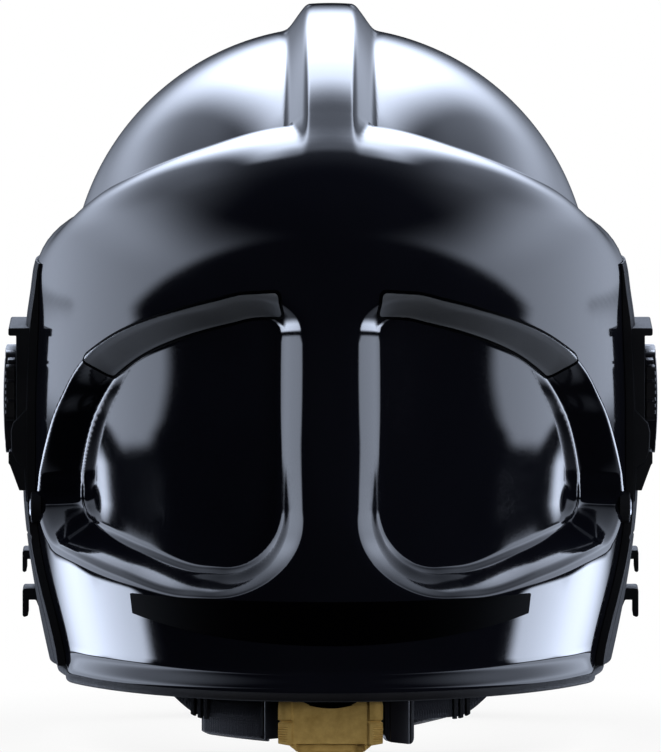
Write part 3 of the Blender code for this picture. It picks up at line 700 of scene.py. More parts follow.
def shield_point(side_angle, rise, lift=0.0):
    radius = (SHIELD_RADIUS + lift) * np.cos(side_angle)
    width = (SHIELD_HALF_WIDTH + lift) * np.sin(side_angle)
    return SHIELD_PIVOT + stack(width, -radius * np.cos(rise), radius * np.sin(rise))


def make_shield(look):
    columns = np.radians(np.linspace(-85, 85, 120))
    rows = np.radians(spread(-32, 20, 40))
    lens = patch(
        "shield_lens", columns, rows, lambda u, v: shield_point(u, v, -2.5 + 0 * u),
        lambda u, v: shield_point(u, v, 0 * u), look["glass"], "shield", edge=0.7,
    )
    stand_for(lens, "shield_clear", "face_shield")

    def bead(name, low_rise, high_rise):
        piece = patch(
            name, np.radians(np.linspace(-80, 80, 110)), np.radians(np.linspace(low_rise, high_rise, 5)),
            lambda u, v: shield_point(u, v, -3.1 + 0 * u),
            lambda u, v: shield_point(u, v, 0.5 + 0 * u), look["rubber"], "shield", edge=0.5,
        )
    bead("shield_bottom_bead", -32.2, -31.0)
    bead("shield_top_bead", 19.0, 20.2)

    def tab_place(s, t, lift):
        return shield_point(np.arcsin(s / SHIELD_HALF_WIDTH), np.radians(-29.4 + t / 2.5), lift)

    def tab_face(s, t):
        ribs = 0.25 * np.cos(2 * pi * s / 2.4) * smooth((12 - np.abs(s)) / 2)
        return 2.6 + 0.8 * np.clip(-t / 5, 0, 1) + ribs
    tab = tile("shield_tab", 28, 10, 3.0, tab_place, 0.3, tab_face, look["matte"], "shield", edge=0.5,
               columns=110, rows=12)
    stand_for(tab, "matte_black", "shield_lift_tab")


# ---- lining ------------------------------------------------------------------------------
def oval(azimuth, half_width, half_length, height, setback=4.0):
    return stack(half_width * np.sin(azimuth), half_length * np.cos(azimuth) + setback, height)


def dome_skin(azimuth, rise, half_width, half_length, height, setback):
    return stack(
        half_width * np.cos(rise) * np.sin(azimuth),
        half_length * np.cos(rise) * np.cos(azimuth) + setback,
        height * np.sin(rise),
    )


def make_lining(look):
    ring = np.radians(np.linspace(-180, 180, 145))[:-1]

    def liner_inside(u, v):
        channel = smooth((np.cos(6 * u) - 0.86) / 0.1) * smooth((v - 0.3) / 0.1) * smooth((1.35 - v) / 0.1)
        depth = 2.6 * channel
        rise = np.maximum(v, asin(14 / 68))
        return dome_skin(u, rise, 82 + depth, 101 + depth, 68 + depth, 4.0)
    rises = np.concatenate([[asin(14 / 89)], np.linspace(0.2, pi / 2 - 0.02, 40)])
    liner = patch(
        "foam_liner", ring, rises, liner_inside,
        lambda u, v: dome_skin(u, v, 95, 114, 89, 10), look["foam"], closed=True, edge=1.2,
    )
    stand_for(liner, "foam_grey", "energy_liner")

    def quilt(u, v):
        around = np.abs(np.sin(4 * u)) ** 0.5
        up = np.clip(np.abs(np.sin((v - 0.5) * pi / 0.36)), 0, 1) ** 0.5
        return around * (0.35 + 0.65 * up)

    def crown_inside(u, v):
        puff = quilt(u, v)
        return dome_skin(u, v, 79.6 - 2.6 * puff, 98 - 2.6 * puff, 65.8 - 2.8 * puff, 4.0)
    pad = patch(
        "crown_cushion", ring, np.linspace(0.5, pi / 2 - 0.02, 56), crown_inside,
        lambda u, v: dome_skin(u, v, 80.4, 98.9, 66.7, 4.0), look["fabric"], closed=True, edge=0.8,
    )
    stand_for(pad, "fabric_black", "crown_pad")

    def band_out(u, v):
        bead = 0.7 * smooth((np.abs(v + 1) - 10.6) / 1.0)
        slot = 0.7 * smooth((np.cos(48 * u) - 0.3) / 0.3) * smooth((4 - np.abs(v + 1)) / 1.0)
        return oval(u, 81.9 + bead - slot, 100.9 + bead - slot, v)
    band = patch(
        "headband_ring", np.radians(np.linspace(-180, 180, 577))[:-1], np.linspace(-13, 11, 25),
        lambda u, v: oval(u, 80.6, 99.6, v), band_out, look["matte"], closed=True, edge=0.4,
    )
    stand_for(band, "matte_black", "headband")

    def brow_in(u, v):
        channel = np.abs(np.sin(9 * u)) ** 0.35
        end_pull = np.clip((62 - np.abs(np.degrees(u) - 180)) / 6, 0, 1)
        edge_pull = np.clip(1 - ((v + 1) / 11.2) ** 4, 0, 1) * end_pull
        puff = 3.0 * channel * edge_pull
        return oval(u, 80.0 - puff, 99.0 - puff, v)
    brow = patch(
        "brow_cushion", np.radians(np.linspace(118, 242, 150)), np.linspace(-12, 10, 28), brow_in,
        lambda u, v: oval(u, 80.3, 99.3, v), look["fabric"], edge=0.4,
    )
    stand_for(brow, "fabric_black", "brow_pad")
    for number, middle in enumerate((45, 135, 225, 315), 1):
        def hanger_out(u, v, middle=middle):
            rib = 0.6 * smooth(1 - np.abs(np.degrees(u) - middle) / 1.6)
            return oval(u, 85.2 + rib, 104.2 + rib, v)
        hanger = patch(
            f"hanger_{number}", np.radians(np.linspace(middle - 6, middle + 6, 25)), np.linspace(-9, 13.4, 8),
            lambda u, v: oval(u, 83.3, 102.3, v), hanger_out, look["matte"], edge=0.4,
        )
        stand_for(hanger, "matte_black", f"band_hanger_{number}")


# ---- nape adjuster -----------------------------------------------------------------------
NAPE_HALF_WIDTH, NAPE_HALF_LENGTH, NAPE_HEIGHT = 84.0, 110.0, -157.0


def nape_point(turn, height, lift):
    angle = np.abs(np.degrees(turn))
    spread_out = 22 * smooth((angle - 35) / 31)
    climb = 45 * smooth((angle - 36) / 32)
    return stack(
        (NAPE_HALF_WIDTH + spread_out + lift) * np.sin(turn), (NAPE_HALF_LENGTH + lift) * np.cos(turn),
        NAPE_HEIGHT + climb + height,
    )


def nape_pad(name, start, end, top, foot, foot_slope, look, node):
    """A stitched pad inside the strap, with its seam and thread along the lower edge."""
    def corner(u, v):
        share = (u - start) / (end - start)
        return top + (foot + foot_slope * share - top) * v

    def puff(u, v):
        share = (u - start) / (end - start)
        seam = smooth(np.minimum(np.minimum(share, 1 - share) * 26, (1 - v) * 16) / 2.2)
        return seam * (1 - 0.35 * (2 * share - 1) ** 2)

    def face(sign_out):
        def place(u, v):
            lift = -4.8 + sign_out * (1.0 + 2.3 * puff(u, v))
            return nape_point(np.radians(u), corner(u, v), lift)
        return place
    pad = patch(name, spread(start, end, 60), spread(0, 1, 34), face(-1), face(1), look["fabric"], edge=0.5)
    stand_for(pad, "fabric_black", node)
    inset = np.linspace(start + 0.06 * (end - start), end - 0.06 * (end - start), 40)
    lower = [nape_point(np.radians(u), corner(u, 0.86), -4.8 + 3.1) for u in inset]
    thread = stitches(f"{name}_thread", lower, 2.4, 1.5, 0.22, look["thread"])


def make_nape(look):
    def strap_face(lift):
        def place(u, v):
            mesh_area = smooth((5.6 - np.abs(v)) / 0.6)
            rib = 0.22 * np.cos(2 * pi * (np.degrees(u) * 1.75 / 1.3 + v / 3.2)) * mesh_area
            return nape_point(u, v, lift + (rib if lift > 0 else 0))
        return place
    for side, sign in BOTH_SIDES:
        strap = patch(
            f"nape_band_{side}", np.radians(np.linspace(17.5, 66, 290)), spread(-7, 7, 16),
            strap_face(-0.8), strap_face(0.9), look["webbing"], flip=sign, edge=0.25, sharp=70,
        )
        stand_for(strap, "webbing_black", f"nape_strap_{side}")
        for number in range(3):
            middle = 35.2 + number * 1.9
            bar = patch(
                f"ladder_bar_{side}_{number}", np.radians(np.linspace(middle - 0.55, middle + 0.55, 4)),
                np.linspace(-7.8, 7.8, 6),
                lambda u, v: nape_point(u, v, 0.5), lambda u, v: nape_point(u, v, 2.0),
                look["matte"], flip=sign, edge=0.3,
            )
    nape_pad("nape_cushion_left", 18, 39, -4, -15.8, 1.4, look, "nape_pad_left")
    nape_pad("nape_cushion_right", -23, -41, 2, -10.0, 3.6, look, "nape_pad_right")

    def link_face(s, t):
        return 1.6 + 0.9 * np.cos(pi * s / 15) - 0.4 * smooth(1 - np.abs(np.abs(s) - 5.2) / 0.5)
    link = tile(
        "nape_link", 15, 21, 3.0,
        lambda s, t, lift: nape_point(-0.325 + s / 105, t - 5.5 + 0.12 * s, lift), -3.0, link_face,
        look["satin"], edge=0.5, columns=40, rows=16,
    )

    side_link = tile(
        "nape_link_left", 13, 17, 2.5,
        lambda s, t, lift: nape_point(0.262 + s / 105, t - 5.5 - 0.1 * s, lift),
        -3.0, link_face, look["satin"], edge=0.5, columns=40, rows=16,
    )

    def housing_face(s, t):
        return 4.4 - 0.5 * smooth(1 - np.abs(np.maximum(np.abs(s) / 18.5, np.abs(t) / 10) - 1) / 0.06)
    housing = tile(
        "nape_housing", 42, 25, 3.0, flat_place((0, 105.5, -158.5), (1, 0, 0), (0, 0, 1), (0, 1, 0)),
        -4.5, housing_face, look["matte"], edge=0.7, columns=50, rows=30,
    )
    stand_for(housing, "matte_black", "adjuster_housing")
    make_lever(look)


LEVER_TOP = -154.6
LEVER_FOOT = -177.7


def make_lever(look):
    """Tan release lever: dished face, side wings with a notch and fine grips, scooped lower lip."""
    wing_foot, face_foot = -172.0, -172.6

    def outline(z):
        notch = 1.0 * smooth(1 - np.abs(z + 163.4) / 0.9)
        wing = 20.7 - notch - 0.4 * smooth((z + 158) / 3)
        taper = 16.4 - (face_foot - z) * 1.15
        below = smooth((wing_foot - z) / 0.9)
        return wing * (1 - below) + np.clip(taper, 11.2, 16.4) * below

    def height(u, v):
        scallop = 3.7 * (1 - np.clip(np.abs(u) * 20.7 / 12.6, 0, 1) ** 2.2)
        top = LEVER_TOP - scallop
        return top + (LEVER_FOOT - top) * v

    def back(u, v):
        z = height(u, v)
        return stack(u * outline(z), 112.6, z)

    def front(u, v):
        z = height(u, v)
        x = u * outline(z)
        reach = np.abs(x)
        y = 116.6 - 0.5 * smooth((14 - reach) / 12)
        crease = smooth((reach - 14.6) / 0.9)
        y = y + crease * (1.3 - 0.9 * smooth((reach - 17) / 3.6))
        y = y - 1.2 * crease * smooth(1 - np.abs(z + 163.4) / 0.9)
        grip = smooth((reach - 16.6) / 1.0) * smooth((-164.5 - z) / 0.8) * smooth((z + 171.6) / 0.8)
        y = y + 0.22 * grip * np.cos(2 * pi * z / 0.95)
        scoop = smooth((face_foot + 0.3 - z) / 0.5) * smooth((z + 176.2) / 0.6) * smooth((13.6 - reach) / 0.9)
        y = y - 3.4 * scoop
        lip = smooth((face_foot - z) / 1.2)
        y = y + 1.2 * lip * (1 - scoop)
        roll = smooth((LEVER_TOP - 0.2 - z + 0 * x) / 1.2) * 0.8 - 0.8
        return stack(x, y + roll * (v < 0.1), z)

    columns = np.concatenate([
        np.linspace(-1, -0.68, 34), np.linspace(-0.67, 0.67, 46), np.linspace(0.68, 1, 34),
    ])
    steps = np.concatenate([np.linspace(0, 0.04, 5), np.linspace(0.05, 1, 150)])
    lever = patch("release_lever", columns, steps, back, front, look["gold"], "lever", edge=0.3, sharp=50)
    stand_for(lever, "lever_tan", "adjuster_lever")


# ---- chin strap --------------------------------------------------------------------------
CHIN_ANCHOR = np.array([104.0, -22.0, -124.0])


def chin_frame(along):
    """Place and directions on the strap: 0 is the left anchor, 1 the chin, 2 the right anchor."""
    along = np.asarray(along, float)

    def place(value):
        swing = np.clip(value, 0, 2) * pi / 2
        return stack(CHIN_ANCHOR[0] * np.cos(swing), CHIN_ANCHOR[1] - 50 * np.sin(swing),
                     CHIN_ANCHOR[2] - 43 * np.sin(swing))
    tangent = place(along + 0.01) - place(along - 0.01)
    tangent /= np.linalg.norm(tangent, axis=-1, keepdims=True)
    outward = np.cross(tangent, np.array([0, 1, -0.4]))
    outward /= np.linalg.norm(outward, axis=-1, keepdims=True)
    across = np.cross(outward, tangent)
    outward = np.where(outward[..., 2:] > 0, -outward, outward)
    return place(along), tangent, across, outward


def strap_point(along, step, lift):
    place, _, across, outward = chin_frame(along)
    return place + across * np.asarray(step)[..., None] + outward * np.asarray(lift)[..., None]


def make_chin_strap(look):
    for name, node, start, end, count in (
        ("chin_webbing_left", "chin_strap_left", 0.07, 1.37, 220),
        ("chin_webbing_right", "chin_strap_right", 1.64, 1.93, 60),
    ):
        def weave(u, v):
            cross = np.cos(2 * pi * u * 165 / 2.2) * np.cos(2 * pi * v / 3.0)
            selvedge = 0.12 * smooth((np.abs(v) - 7.6) / 0.6)
            return 0.62 + 0.16 * cross * smooth((8.6 - np.abs(v)) / 0.5) + selvedge
        strap = patch(
            name, np.linspace(start, end, count), np.linspace(-9, 9, 26),
            lambda u, v: strap_point(u, v, -weave(u, v)), lambda u, v: strap_point(u, v, weave(u, v)),
            look["webbing"], edge=0.2, sharp=70,
        )
        stand_for(strap, "webbing_black", node)

    def puffed(u, v):
        share = np.abs(u - 1) / 0.28
        edge = smooth((1 - share) * 6) * smooth((1 - np.abs(v) / 14) * 4)
        ribs = 0.75 + 0.25 * np.abs(np.sin(pi * (u - 1) / 0.14)) ** 0.5
        return edge * ribs
    pad = patch(
        "chin_cushion", spread(0.72, 1.28, 70), spread(-14, 14, 36),
        lambda u, v: strap_point(u, v, -2.6 - 3.6 * puffed(u, v)),
        lambda u, v: strap_point(u, v, -1.3 + 0 * u), look["fabric"], edge=0.5,
    )
    stand_for(pad, "fabric_black", "chin_pad")
    for letter, side_step in (("a", -12.2), ("b", 12.2)):
        route = [strap_point(u, side_step, -2.8) for u in np.linspace(0.745, 1.255, 60)]
        thread = stitches(f"chin_thread_{letter}", route, 2.8, 1.8, 0.25, look["thread"])

    def buckle(name, at, length, width, low, high, material, body=HELMET, radius=2.5, edge=0.7):
        place, tangent, across, outward = (np.array(value, float) for value in chin_frame(at))
        return tile(name, length, width, radius, flat_place(place, tangent, across, outward), low, high,
                    material, body, edge=edge, columns=44, rows=34)

    def plug_face(s, t):
        prongs = smooth(1 - np.abs(np.abs(t) - 6.5) / 0.7)
        return 3.4 - 0.8 * prongs - 0.9 * smooth((np.abs(s) - 3.5) / 2)
    plug = buckle("buckle_tongue", 1.42, 11, 23, -3.9, plug_face, look["matte"])
    stand_for(plug, "matte_black", "buckle_plug")

    def socket_face(s, t):
        well = smooth((5.4 - np.abs(s)) / 0.6) * smooth((7.0 - np.abs(t)) / 0.6)
        return 4.0 - 0.5 * smooth((np.abs(t) - 9) / 2) - 1.4 * well
    socket = buckle("buckle_body", 1.56, 17, 23, -4.0, socket_face, look["matte"])
    stand_for(socket, "matte_black", "buckle_socket")

    def button_face(s, t):
        return 7.2 + 0.2 * np.cos(2 * pi * s / 1.5) * smooth((5 - np.abs(t)) / 1) - 0.3 * (s / 4.5) ** 2
    button = buckle("release_button", 1.56, 9, 12, 4.3, button_face, look["red"], "buckle_release", 1.8, 0.4)
    stand_for(button, "button_red", "buckle_button")
    for side, sign in BOTH_SIDES:
        def anchor_face(s, t):
            ridge = 0.5 * smooth(1 - np.abs(np.hypot(s, t) - 3.2) / 0.5)
            return 3.4 - 0.7 * smooth((np.abs(s) - 6) / 4) + ridge
        anchor = tile(
            f"chin_mount_{side}", 22, 10, 2.5,
            lambda s, t, lift: stack(CHIN_ANCHOR[0] + 0.4 - lift, -20 + s, -117 + t),
            -3.4, anchor_face, look["matte"], flip=sign, edge=0.6, columns=44, rows=22,
        )
        stand_for(anchor, "matte_black", f"chin_anchor_{side}")


# ---- materials ---------------------------------------------------------------------------
def new_material(name):
    material = bpy.data.materials.new(name)
    material.use_nodes = True
    return material, material.node_tree, material.node_tree.nodes["Principled BSDF"]


def add_noise(tree, scale, detail=3.0, rough=0.5):
    place = tree.nodes.new("ShaderNodeTexCoord")
    noise = tree.nodes.new("ShaderNodeTexNoise")
    noise.inputs["Scale"].default_value = scale
    noise.inputs["Detail"].default_value = detail
    noise.inputs["Roughness"].default_value = rough
    tree.links.new(place.outputs["Object"], noise.inputs["Vector"])
    return noise


def add_bump(tree, shader, height, strength, distance):
    bump = tree.nodes.new("ShaderNodeBump")
    bump.inputs["Strength"].default_value = strength
    bump.inputs["Distance"].default_value = distance
    tree.links.new(height, bump.inputs["Height"])
    tree.links.new(bump.outputs["Normal"], shader.inputs["Normal"])
    return bump


def vary(tree, source, socket, low, high, start=0.3, end=0.7):
    """Drive a number socket from a 0 to 1 source."""
    mapping = tree.nodes.new("ShaderNodeMapRange")
    mapping.inputs["From Min"].default_value = start
    mapping.inputs["From Max"].default_value = end
    mapping.inputs["To Min"].default_value = low
    mapping.inputs["To Max"].default_value = high
    tree.links.new(source, mapping.inputs["Value"])
    tree.links.new(mapping.outputs["Result"], socket)
    return mapping


def tint(tree, source, socket, dark, light, start=0.3, end=0.7):
    """Drive a colour socket from a 0 to 1 source."""
    colours = tree.nodes.new("ShaderNodeValToRGB")
    colours.color_ramp.elements[0].position = start
    colours.color_ramp.elements[0].color = (*dark, 1)
    colours.color_ramp.elements[1].position = end
    colours.color_ramp.elements[1].color = (*light, 1)
    tree.links.new(source, colours.inputs["Fac"])
    tree.links.new(colours.outputs["Color"], socket)
    return colours


def gloss_shell():
    """Injection-moulded gloss black with a faint haze of fine scuffs."""
    material, tree, shader = new_material("shell_gloss")
    tint(tree, add_noise(tree, 14).outputs["Fac"], shader.inputs["Base Color"],
         (0.0022, 0.0024, 0.004), (0.0032, 0.0035, 0.0055))
    shader.inputs["IOR"].default_value = 1.5
    vary(tree, add_noise(tree, 900, 2).outputs["Fac"], shader.inputs["Roughness"], 0.055, 0.1)
    add_bump(tree, shader, add_noise(tree, 60, 2).outputs["Fac"], 0.02, 0.0006)
    return material


def moulded(name, dark, light, roughness, grain=1400, bump=0.12, specular=0.5):
    """Fine-grained moulded plastic."""
    material, tree, shader = new_material(name)
    shader.inputs["Specular IOR Level"].default_value = specular
    tint(tree, add_noise(tree, 30, 4).outputs["Fac"], shader.inputs["Base Color"], dark, light)
    fine = add_noise(tree, grain, 2)
    vary(tree, fine.outputs["Fac"], shader.inputs["Roughness"], roughness - 0.07, roughness + 0.07)
    add_bump(tree, shader, fine.outputs["Fac"], bump, 0.0003)
    return material


def film_look():
    """Grey retroreflective film: a fine bead pattern under a clear face."""
    material, tree, shader = new_material("reflective_film")
    tint(tree, add_noise(tree, 40, 2).outputs["Fac"], shader.inputs["Base Color"],
         (0.050, 0.055, 0.064), (0.064, 0.070, 0.080))
    place = tree.nodes.new("ShaderNodeTexCoord")
    beads = tree.nodes.new("ShaderNodeTexVoronoi")
    beads.inputs["Scale"].default_value = 1600
    tree.links.new(place.outputs["Object"], beads.inputs["Vector"])
    shader.inputs["Roughness"].default_value = 0.33
    shader.inputs["IOR"].default_value = 1.9
    add_bump(tree, shader, beads.outputs["Distance"], 0.08, 0.0002)
    return material


def label_look():
    """Flat black blank film."""
    material, tree, shader = new_material("label_black")
    fine = add_noise(tree, 1500, 2)
    tint(tree, fine.outputs["Fac"], shader.inputs["Base Color"],
         (0.0001, 0.0001, 0.0002), (0.0003, 0.0003, 0.0005))
    shader.inputs["Roughness"].default_value = 0.6
    shader.inputs["Specular IOR Level"].default_value = 0.02
    add_bump(tree, shader, fine.outputs["Fac"], 0.05, 0.0002)
    return material


def metal(name, dark, light, roughness, brushed=0.0):
    """Metal with fine scratches, stretched sideways where it is brushed."""
    material, tree, shader = new_material(name)
    shader.inputs["Metallic"].default_value = 1.0
    place = tree.nodes.new("ShaderNodeTexCoord")
    stretch = tree.nodes.new("ShaderNodeMapping")
    stretch.inputs["Scale"].default_value = (1 - 0.97 * brushed, 1, 1)
    tree.links.new(place.outputs["Object"], stretch.inputs["Vector"])
    grain = tree.nodes.new("ShaderNodeTexNoise")
    grain.inputs["Scale"].default_value = 1800
    grain.inputs["Detail"].default_value = 3
    tree.links.new(stretch.outputs["Vector"], grain.inputs["Vector"])
    tint(tree, grain.outputs["Fac"], shader.inputs["Base Color"], dark, light)
    vary(tree, grain.outputs["Fac"], shader.inputs["Roughness"], roughness - 0.06, roughness + 0.08)
    add_bump(tree, shader, grain.outputs["Fac"], 0.06, 0.0002)
    return material


def clear(name, colour, roughness, ior):
    """Clear moulded plastic, with a faint uneven surface."""
    material, tree, shader = new_material(name)
    shader.inputs["Base Color"].default_value = (*colour, 1)
    shader.inputs["Transmission Weight"].default_value = 1.0
    shader.inputs["IOR"].default_value = ior
    vary(tree, add_noise(tree, 500, 2).outputs["Fac"], shader.inputs["Roughness"],
         roughness, roughness + 0.03)
    add_bump(tree, shader, add_noise(tree, 25, 2).outputs["Fac"], 0.01, 0.0004)
    return material


def foam_look():
    """Moulded bead foam."""
    material, tree, shader = new_material("foam_grey")
    place = tree.nodes.new("ShaderNodeTexCoord")
    beads = tree.nodes.new("ShaderNodeTexVoronoi")
    beads.inputs["Scale"].default_value = 330
    tree.links.new(place.outputs["Object"], beads.inputs["Vector"])
    tint(tree, beads.outputs["Distance"], shader.inputs["Base Color"],
         (0.075, 0.075, 0.08), (0.04, 0.04, 0.044))
    shader.inputs["Roughness"].default_value = 0.9
    bump = add_bump(tree, shader, beads.outputs["Distance"], 0.5, 0.0006)
    bump.invert = True
    return material


def cloth(name, dark, light, cell, strength, sheen):
    """Textile: small woven or knitted cells with fuzz and a soft sheen."""
    material, tree, shader = new_material(name)
    place = tree.nodes.new("ShaderNodeTexCoord")
    cells = tree.nodes.new("ShaderNodeTexVoronoi")
    cells.inputs["Scale"].default_value = cell
    cells.inputs["Randomness"].default_value = 0.35
    tree.links.new(place.outputs["Object"], cells.inputs["Vector"])
    fuzz = add_noise(tree, cell * 2.5, 4, 0.7)
    tint(tree, fuzz.outputs["Fac"], shader.inputs["Base Color"], dark, light)
    shader.inputs["Roughness"].default_value = 0.85
    shader.inputs["Sheen Weight"].default_value = sheen
    shader.inputs["Sheen Roughness"].default_value = 0.4
    mixed = tree.nodes.new("ShaderNodeMath")
    mixed.operation = "SUBTRACT"
    tree.links.new(fuzz.outputs["Fac"], mixed.inputs[0])
    tree.links.new(cells.outputs["Distance"], mixed.inputs[1])
    add_bump(tree, shader, mixed.outputs[0], strength, 0.0005)
    return material


def lever_look():
    """Tan moulding with a metallic sheen and a fine pebbled grain."""
    material, tree, shader = new_material("lever_tan")
    tint(tree, add_noise(tree, 220, 5, 0.65).outputs["Fac"], shader.inputs["Base Color"],
         (0.36, 0.235, 0.070), (0.52, 0.36, 0.125))
    shader.inputs["Metallic"].default_value = 0.35
    fine = add_noise(tree, 2600, 3, 0.6)
    vary(tree, fine.outputs["Fac"], shader.inputs["Roughness"], 0.32, 0.5)
    add_bump(tree, shader, fine.outputs["Fac"], 0.22, 0.0003)
    return material


def emitter_look():
    """The lamp's unlit emitter: a yellow dot with a fine grain."""
    material, tree, shader = new_material("lamp_emitter")
    tint(tree, add_noise(tree, 900).outputs["Fac"], shader.inputs["Base Color"],
         (0.75, 0.65, 0.2), (0.9, 0.8, 0.3))
    shader.inputs["Roughness"].default_value = 0.3
    return material


def make_looks():
    """Every material by a short name."""
    return {
        "shell": gloss_shell(),
        "film": film_look(),
        "label": label_look(),
        "badge": metal("plate_metal", (0.30, 0.31, 0.33), (0.42, 0.43, 0.45), 0.28, brushed=1.0),
        "matte": moulded("matte_black", (0.0045, 0.0048, 0.006), (0.008, 0.0085, 0.010), 0.6, specular=0.05),
        "satin": moulded("satin_black", (0.004, 0.004, 0.0055), (0.007, 0.007, 0.009), 0.36, 2200, 0.06),
        "rubber": moulded("rubber_black", (0.005, 0.005, 0.006), (0.009, 0.009, 0.010),
                          0.62, 900, 0.15, 0.18),
        "steel": metal("steel", (0.22, 0.22, 0.23), (0.36, 0.36, 0.37), 0.3),
        "dark_steel": metal("dark_steel", (0.010, 0.010, 0.011), (0.03, 0.03, 0.032), 0.45),
        "mirror": metal("lamp_mirror", (0.80, 0.80, 0.80), (0.9, 0.9, 0.9), 0.12),
        "led": emitter_look(),
        "lens": clear("lamp_lens", (0.95, 0.97, 1.0), 0.02, 1.49),
        "glass": clear("shield_clear", (0.93, 0.97, 0.98), 0.015, 1.38),
        "foam": foam_look(),
        "fabric": cloth("fabric_black", (0.012, 0.013, 0.018), (0.028, 0.030, 0.040), 1100, 0.6, 0.35),
        "webbing": cloth("webbing_black", (0.008, 0.009, 0.013), (0.020, 0.022, 0.030), 1500, 0.4, 0.25),
        "thread": cloth("thread_grey", (0.03, 0.032, 0.042), (0.055, 0.058, 0.07), 3000, 0.3, 0.3),
        "gold": lever_look(),
        "red": moulded("button_red", (0.42, 0.022, 0.014), (0.55, 0.035, 0.022), 0.35),
    }


# ---- stage, light and camera -------------------------------------------------------------
def make_world():
    """A white studio: tall panels on both sides, a softbox overhead, low strips near the floor."""
    world = bpy.data.worlds.new("studio")
    bpy.context.scene.world = world
    world.use_nodes = True
    tree = world.node_tree
    links = tree.links
    tree.nodes.clear()
    place = tree.nodes.new("ShaderNodeTexCoord")
    parts = tree.nodes.new("ShaderNodeSeparateXYZ")
    links.new(place.outputs["Generated"], parts.inputs["Vector"])
    _, y, z = parts.outputs

    def number(operation, *values):
        node = tree.nodes.new("ShaderNodeMath")
        node.operation = operation
        for socket, value in zip(node.inputs, values):
            if isinstance(value, (int, float)):
                socket.default_value = value
            else:
                links.new(value, socket)
        return node.outputs[0]

    def eased(source, start, end, low=0.0, high=1.0):
        node = tree.nodes.new("ShaderNodeMapRange")
        node.interpolation_type = "SMOOTHSTEP"
        links.new(source, node.inputs["Value"])
        for key, value in (("From Min", start), ("From Max", end), ("To Min", low), ("To Max", high)):
            node.inputs[key].default_value = value
        return node.outputs["Result"]

    def product(first, *others):
        for other in others:
            first = number("MULTIPLY", first, other)
        return first

    across = number("ABSOLUTE", parts.outputs["X"])
    lowered = number("SUBTRACT", z, eased(y, -0.45, -0.7, 0, 0.06))
    above_floor = eased(lowered, -0.15, -0.115)
    slant = number("SUBTRACT", number("MULTIPLY", z, 1.45), y)
    panels = product(number("POWER", across, 1.3), 2.9, eased(z, 0.22, 0.6, 1, 0), eased(slant, -0.06, 0.1),
                     above_floor)
    ceiling = product(eased(y, 0.45, -0.2, 0, 1.15), eased(z, 0.1, 0.35), eased(z, 0.7, 0.95, 1, 0.25))
    softbox = product(eased(across, 0.5, 0.2, 0, 12), eased(z, 0.2, 0.75), eased(z, 0.9, 0.99, 1, 0.1),
                      eased(y, 0.02, -0.12))
    raised = number("SUBTRACT", z, eased(y, -0.5, -0.72, 0, 0.09))
    strips = product(eased(across, 0.35, 0.8, 0, 8), eased(raised, -0.2, -0.26), eased(z, -0.62, -0.42),
                     eased(y, -0.08, -0.2))
    floor_glow = product(eased(z, -0.25, -0.5, 0, 0.4), eased(y, 0.0, -0.2))
    total = number("ADD", number("ADD", panels, ceiling), number("ADD", softbox, strips))
    total = number("ADD", total, floor_glow)
    glow = tree.nodes.new("ShaderNodeBackground")
    glow.inputs["Color"].default_value = (0.89, 1.0, 1.235, 1)
    links.new(total, glow.inputs["Strength"])
    white = tree.nodes.new("ShaderNodeBackground")
    white.inputs["Color"].default_value = (1, 1, 1, 1)
    show_white_to_camera(tree, glow, white, "ShaderNodeOutputWorld", "Surface")


def show_white_to_camera(tree, glow, seen, output, socket):
    path = tree.nodes.new("ShaderNodeLightPath")
    mixed = tree.nodes.new("ShaderNodeMixShader")
    tree.links.new(path.outputs["Is Camera Ray"], mixed.inputs["Fac"])
    tree.links.new(glow.outputs[0], mixed.inputs[1])
    tree.links.new(seen.outputs[0], mixed.inputs[2])
    tree.links.new(mixed.outputs[0], tree.nodes.new(output).inputs[socket])


def make_floor():
    """A plain pale floor with a soft contact shadow. Reflections show the studio instead."""
    size = 3.0
    mesh = bpy.data.meshes.new("floor")
    corners = [(-size, -size, 0), (size, -size, 0), (size, size, 0), (-size, size, 0)]
    mesh.from_pydata(corners, [], [(0, 1, 2, 3)])
    floor = bpy.data.objects.new("floor", mesh)
    floor.location.z = CAD_BOX[0][2] - 0.0005
    floor.visible_glossy = False
    floor.visible_diffuse = False
    bpy.context.scene.collection.objects.link(floor)
    material = bpy.data.materials.new("floor")
    material.use_nodes = True
    tree = material.node_tree
    tree.nodes.clear()
    shade = tree.nodes.new("ShaderNodeAmbientOcclusion")
    shade.inputs["Distance"].default_value = 0.12
    shade.samples = 8
    tone = tree.nodes.new("ShaderNodeMapRange")
    tone.inputs["From Min"].default_value = 0.2
    tone.inputs["To Min"].default_value = 0.82
    tree.links.new(shade.outputs["AO"], tone.inputs["Value"])
    seen = tree.nodes.new("ShaderNodeEmission")
    tree.links.new(tone.outputs["Result"], seen.inputs["Strength"])
    tree.links.new(seen.outputs[0], tree.nodes.new("ShaderNodeOutputMaterial").inputs["Surface"])
    mesh.materials.append(material)


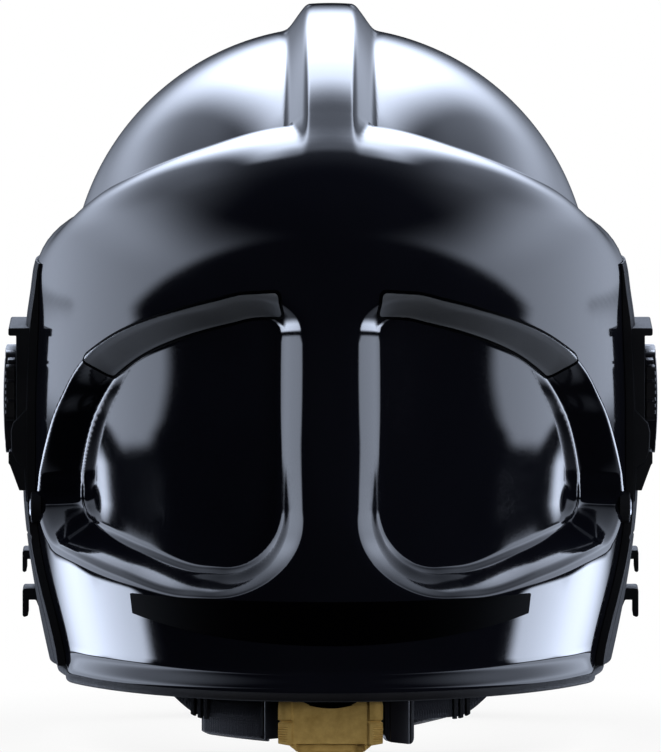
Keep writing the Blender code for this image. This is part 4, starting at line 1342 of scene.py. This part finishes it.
def area_light(name, place, target, size, power, glossy=False, colour=(1, 1, 1)):
    light = bpy.data.lights.new(name, "AREA")
    light.shape = "RECTANGLE"
    light.size, light.size_y = size
    light.energy = power
    light.color = colour
    lamp = bpy.data.objects.new(name, light)
    lamp.location = place
    lamp.rotation_euler = (Vector(target) - Vector(place)).to_track_quat("-Z", "Y").to_euler()
    lamp.visible_camera = False
    lamp.visible_glossy = glossy
    bpy.context.scene.collection.objects.link(lamp)
    return lamp


def make_lights():
    area_light("fill_behind", (0.5, 1.4, 0.4), (0, 0, -0.05), (0.8, 0.8), 8)
    area_light("fill_low", (-0.7, 0.9, -0.05), (0, 0.1, -0.16), (0.2, 0.15), 5)


VIEW_ELEVATION = radians(4.5)
VIEW_DISTANCE = 8.0       # far away, so that there is almost no perspective
VIEW_HEIGHT = 0.3008      # height that the frame takes in at the helmet, in metres
VIEW_DROP = 0.0356        # how far the middle of the frame lies below the origin, in metres
SENSOR_HEIGHT = 36.0      # in millimetres


def make_camera():
    """Behind the helmet and slightly above it, with a long lens."""
    back = Vector((0, cos(VIEW_ELEVATION), sin(VIEW_ELEVATION)))
    up = Vector((0, -sin(VIEW_ELEVATION), cos(VIEW_ELEVATION)))
    camera = bpy.data.cameras.new("camera")
    camera.sensor_fit = "VERTICAL"
    camera.sensor_height = SENSOR_HEIGHT
    camera.lens = SENSOR_HEIGHT * VIEW_DISTANCE / VIEW_HEIGHT
    camera.clip_end = 20
    eye = bpy.data.objects.new("camera", camera)
    eye.location = back * VIEW_DISTANCE - up * VIEW_DROP
    eye.rotation_euler = (-back).to_track_quat("-Z", "Y").to_euler()
    bpy.context.scene.collection.objects.link(eye)
    bpy.context.scene.camera = eye


def set_view():
    scene = bpy.context.scene
    scene.view_settings.view_transform = "Standard"
    scene.view_settings.look = "None"


# ---- build -------------------------------------------------------------------------------
def recolour_nodes(look):
    """The CAD pieces that stay as they are get their detailed materials."""
    kept = {
        "lever_pin": "dark_steel", "nape_anchor_left": "matte", "nape_anchor_right": "matte",
        "shield_pivot_left": "steel", "shield_pivot_right": "steel",
    }
    for name, material in kept.items():
        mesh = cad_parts[name].data
        mesh.materials.clear()
        mesh.materials.append(look[material])


look = make_looks()
make_world()
make_floor()
make_lights()
make_camera()
set_view()
make_shell(look)
make_rim_seal(look)
make_films(look)
make_side_fittings(look)
make_lamp(look)
make_shield(look)
make_lining(look)
make_nape(look)
make_chin_strap(look)
recolour_nodes(look)
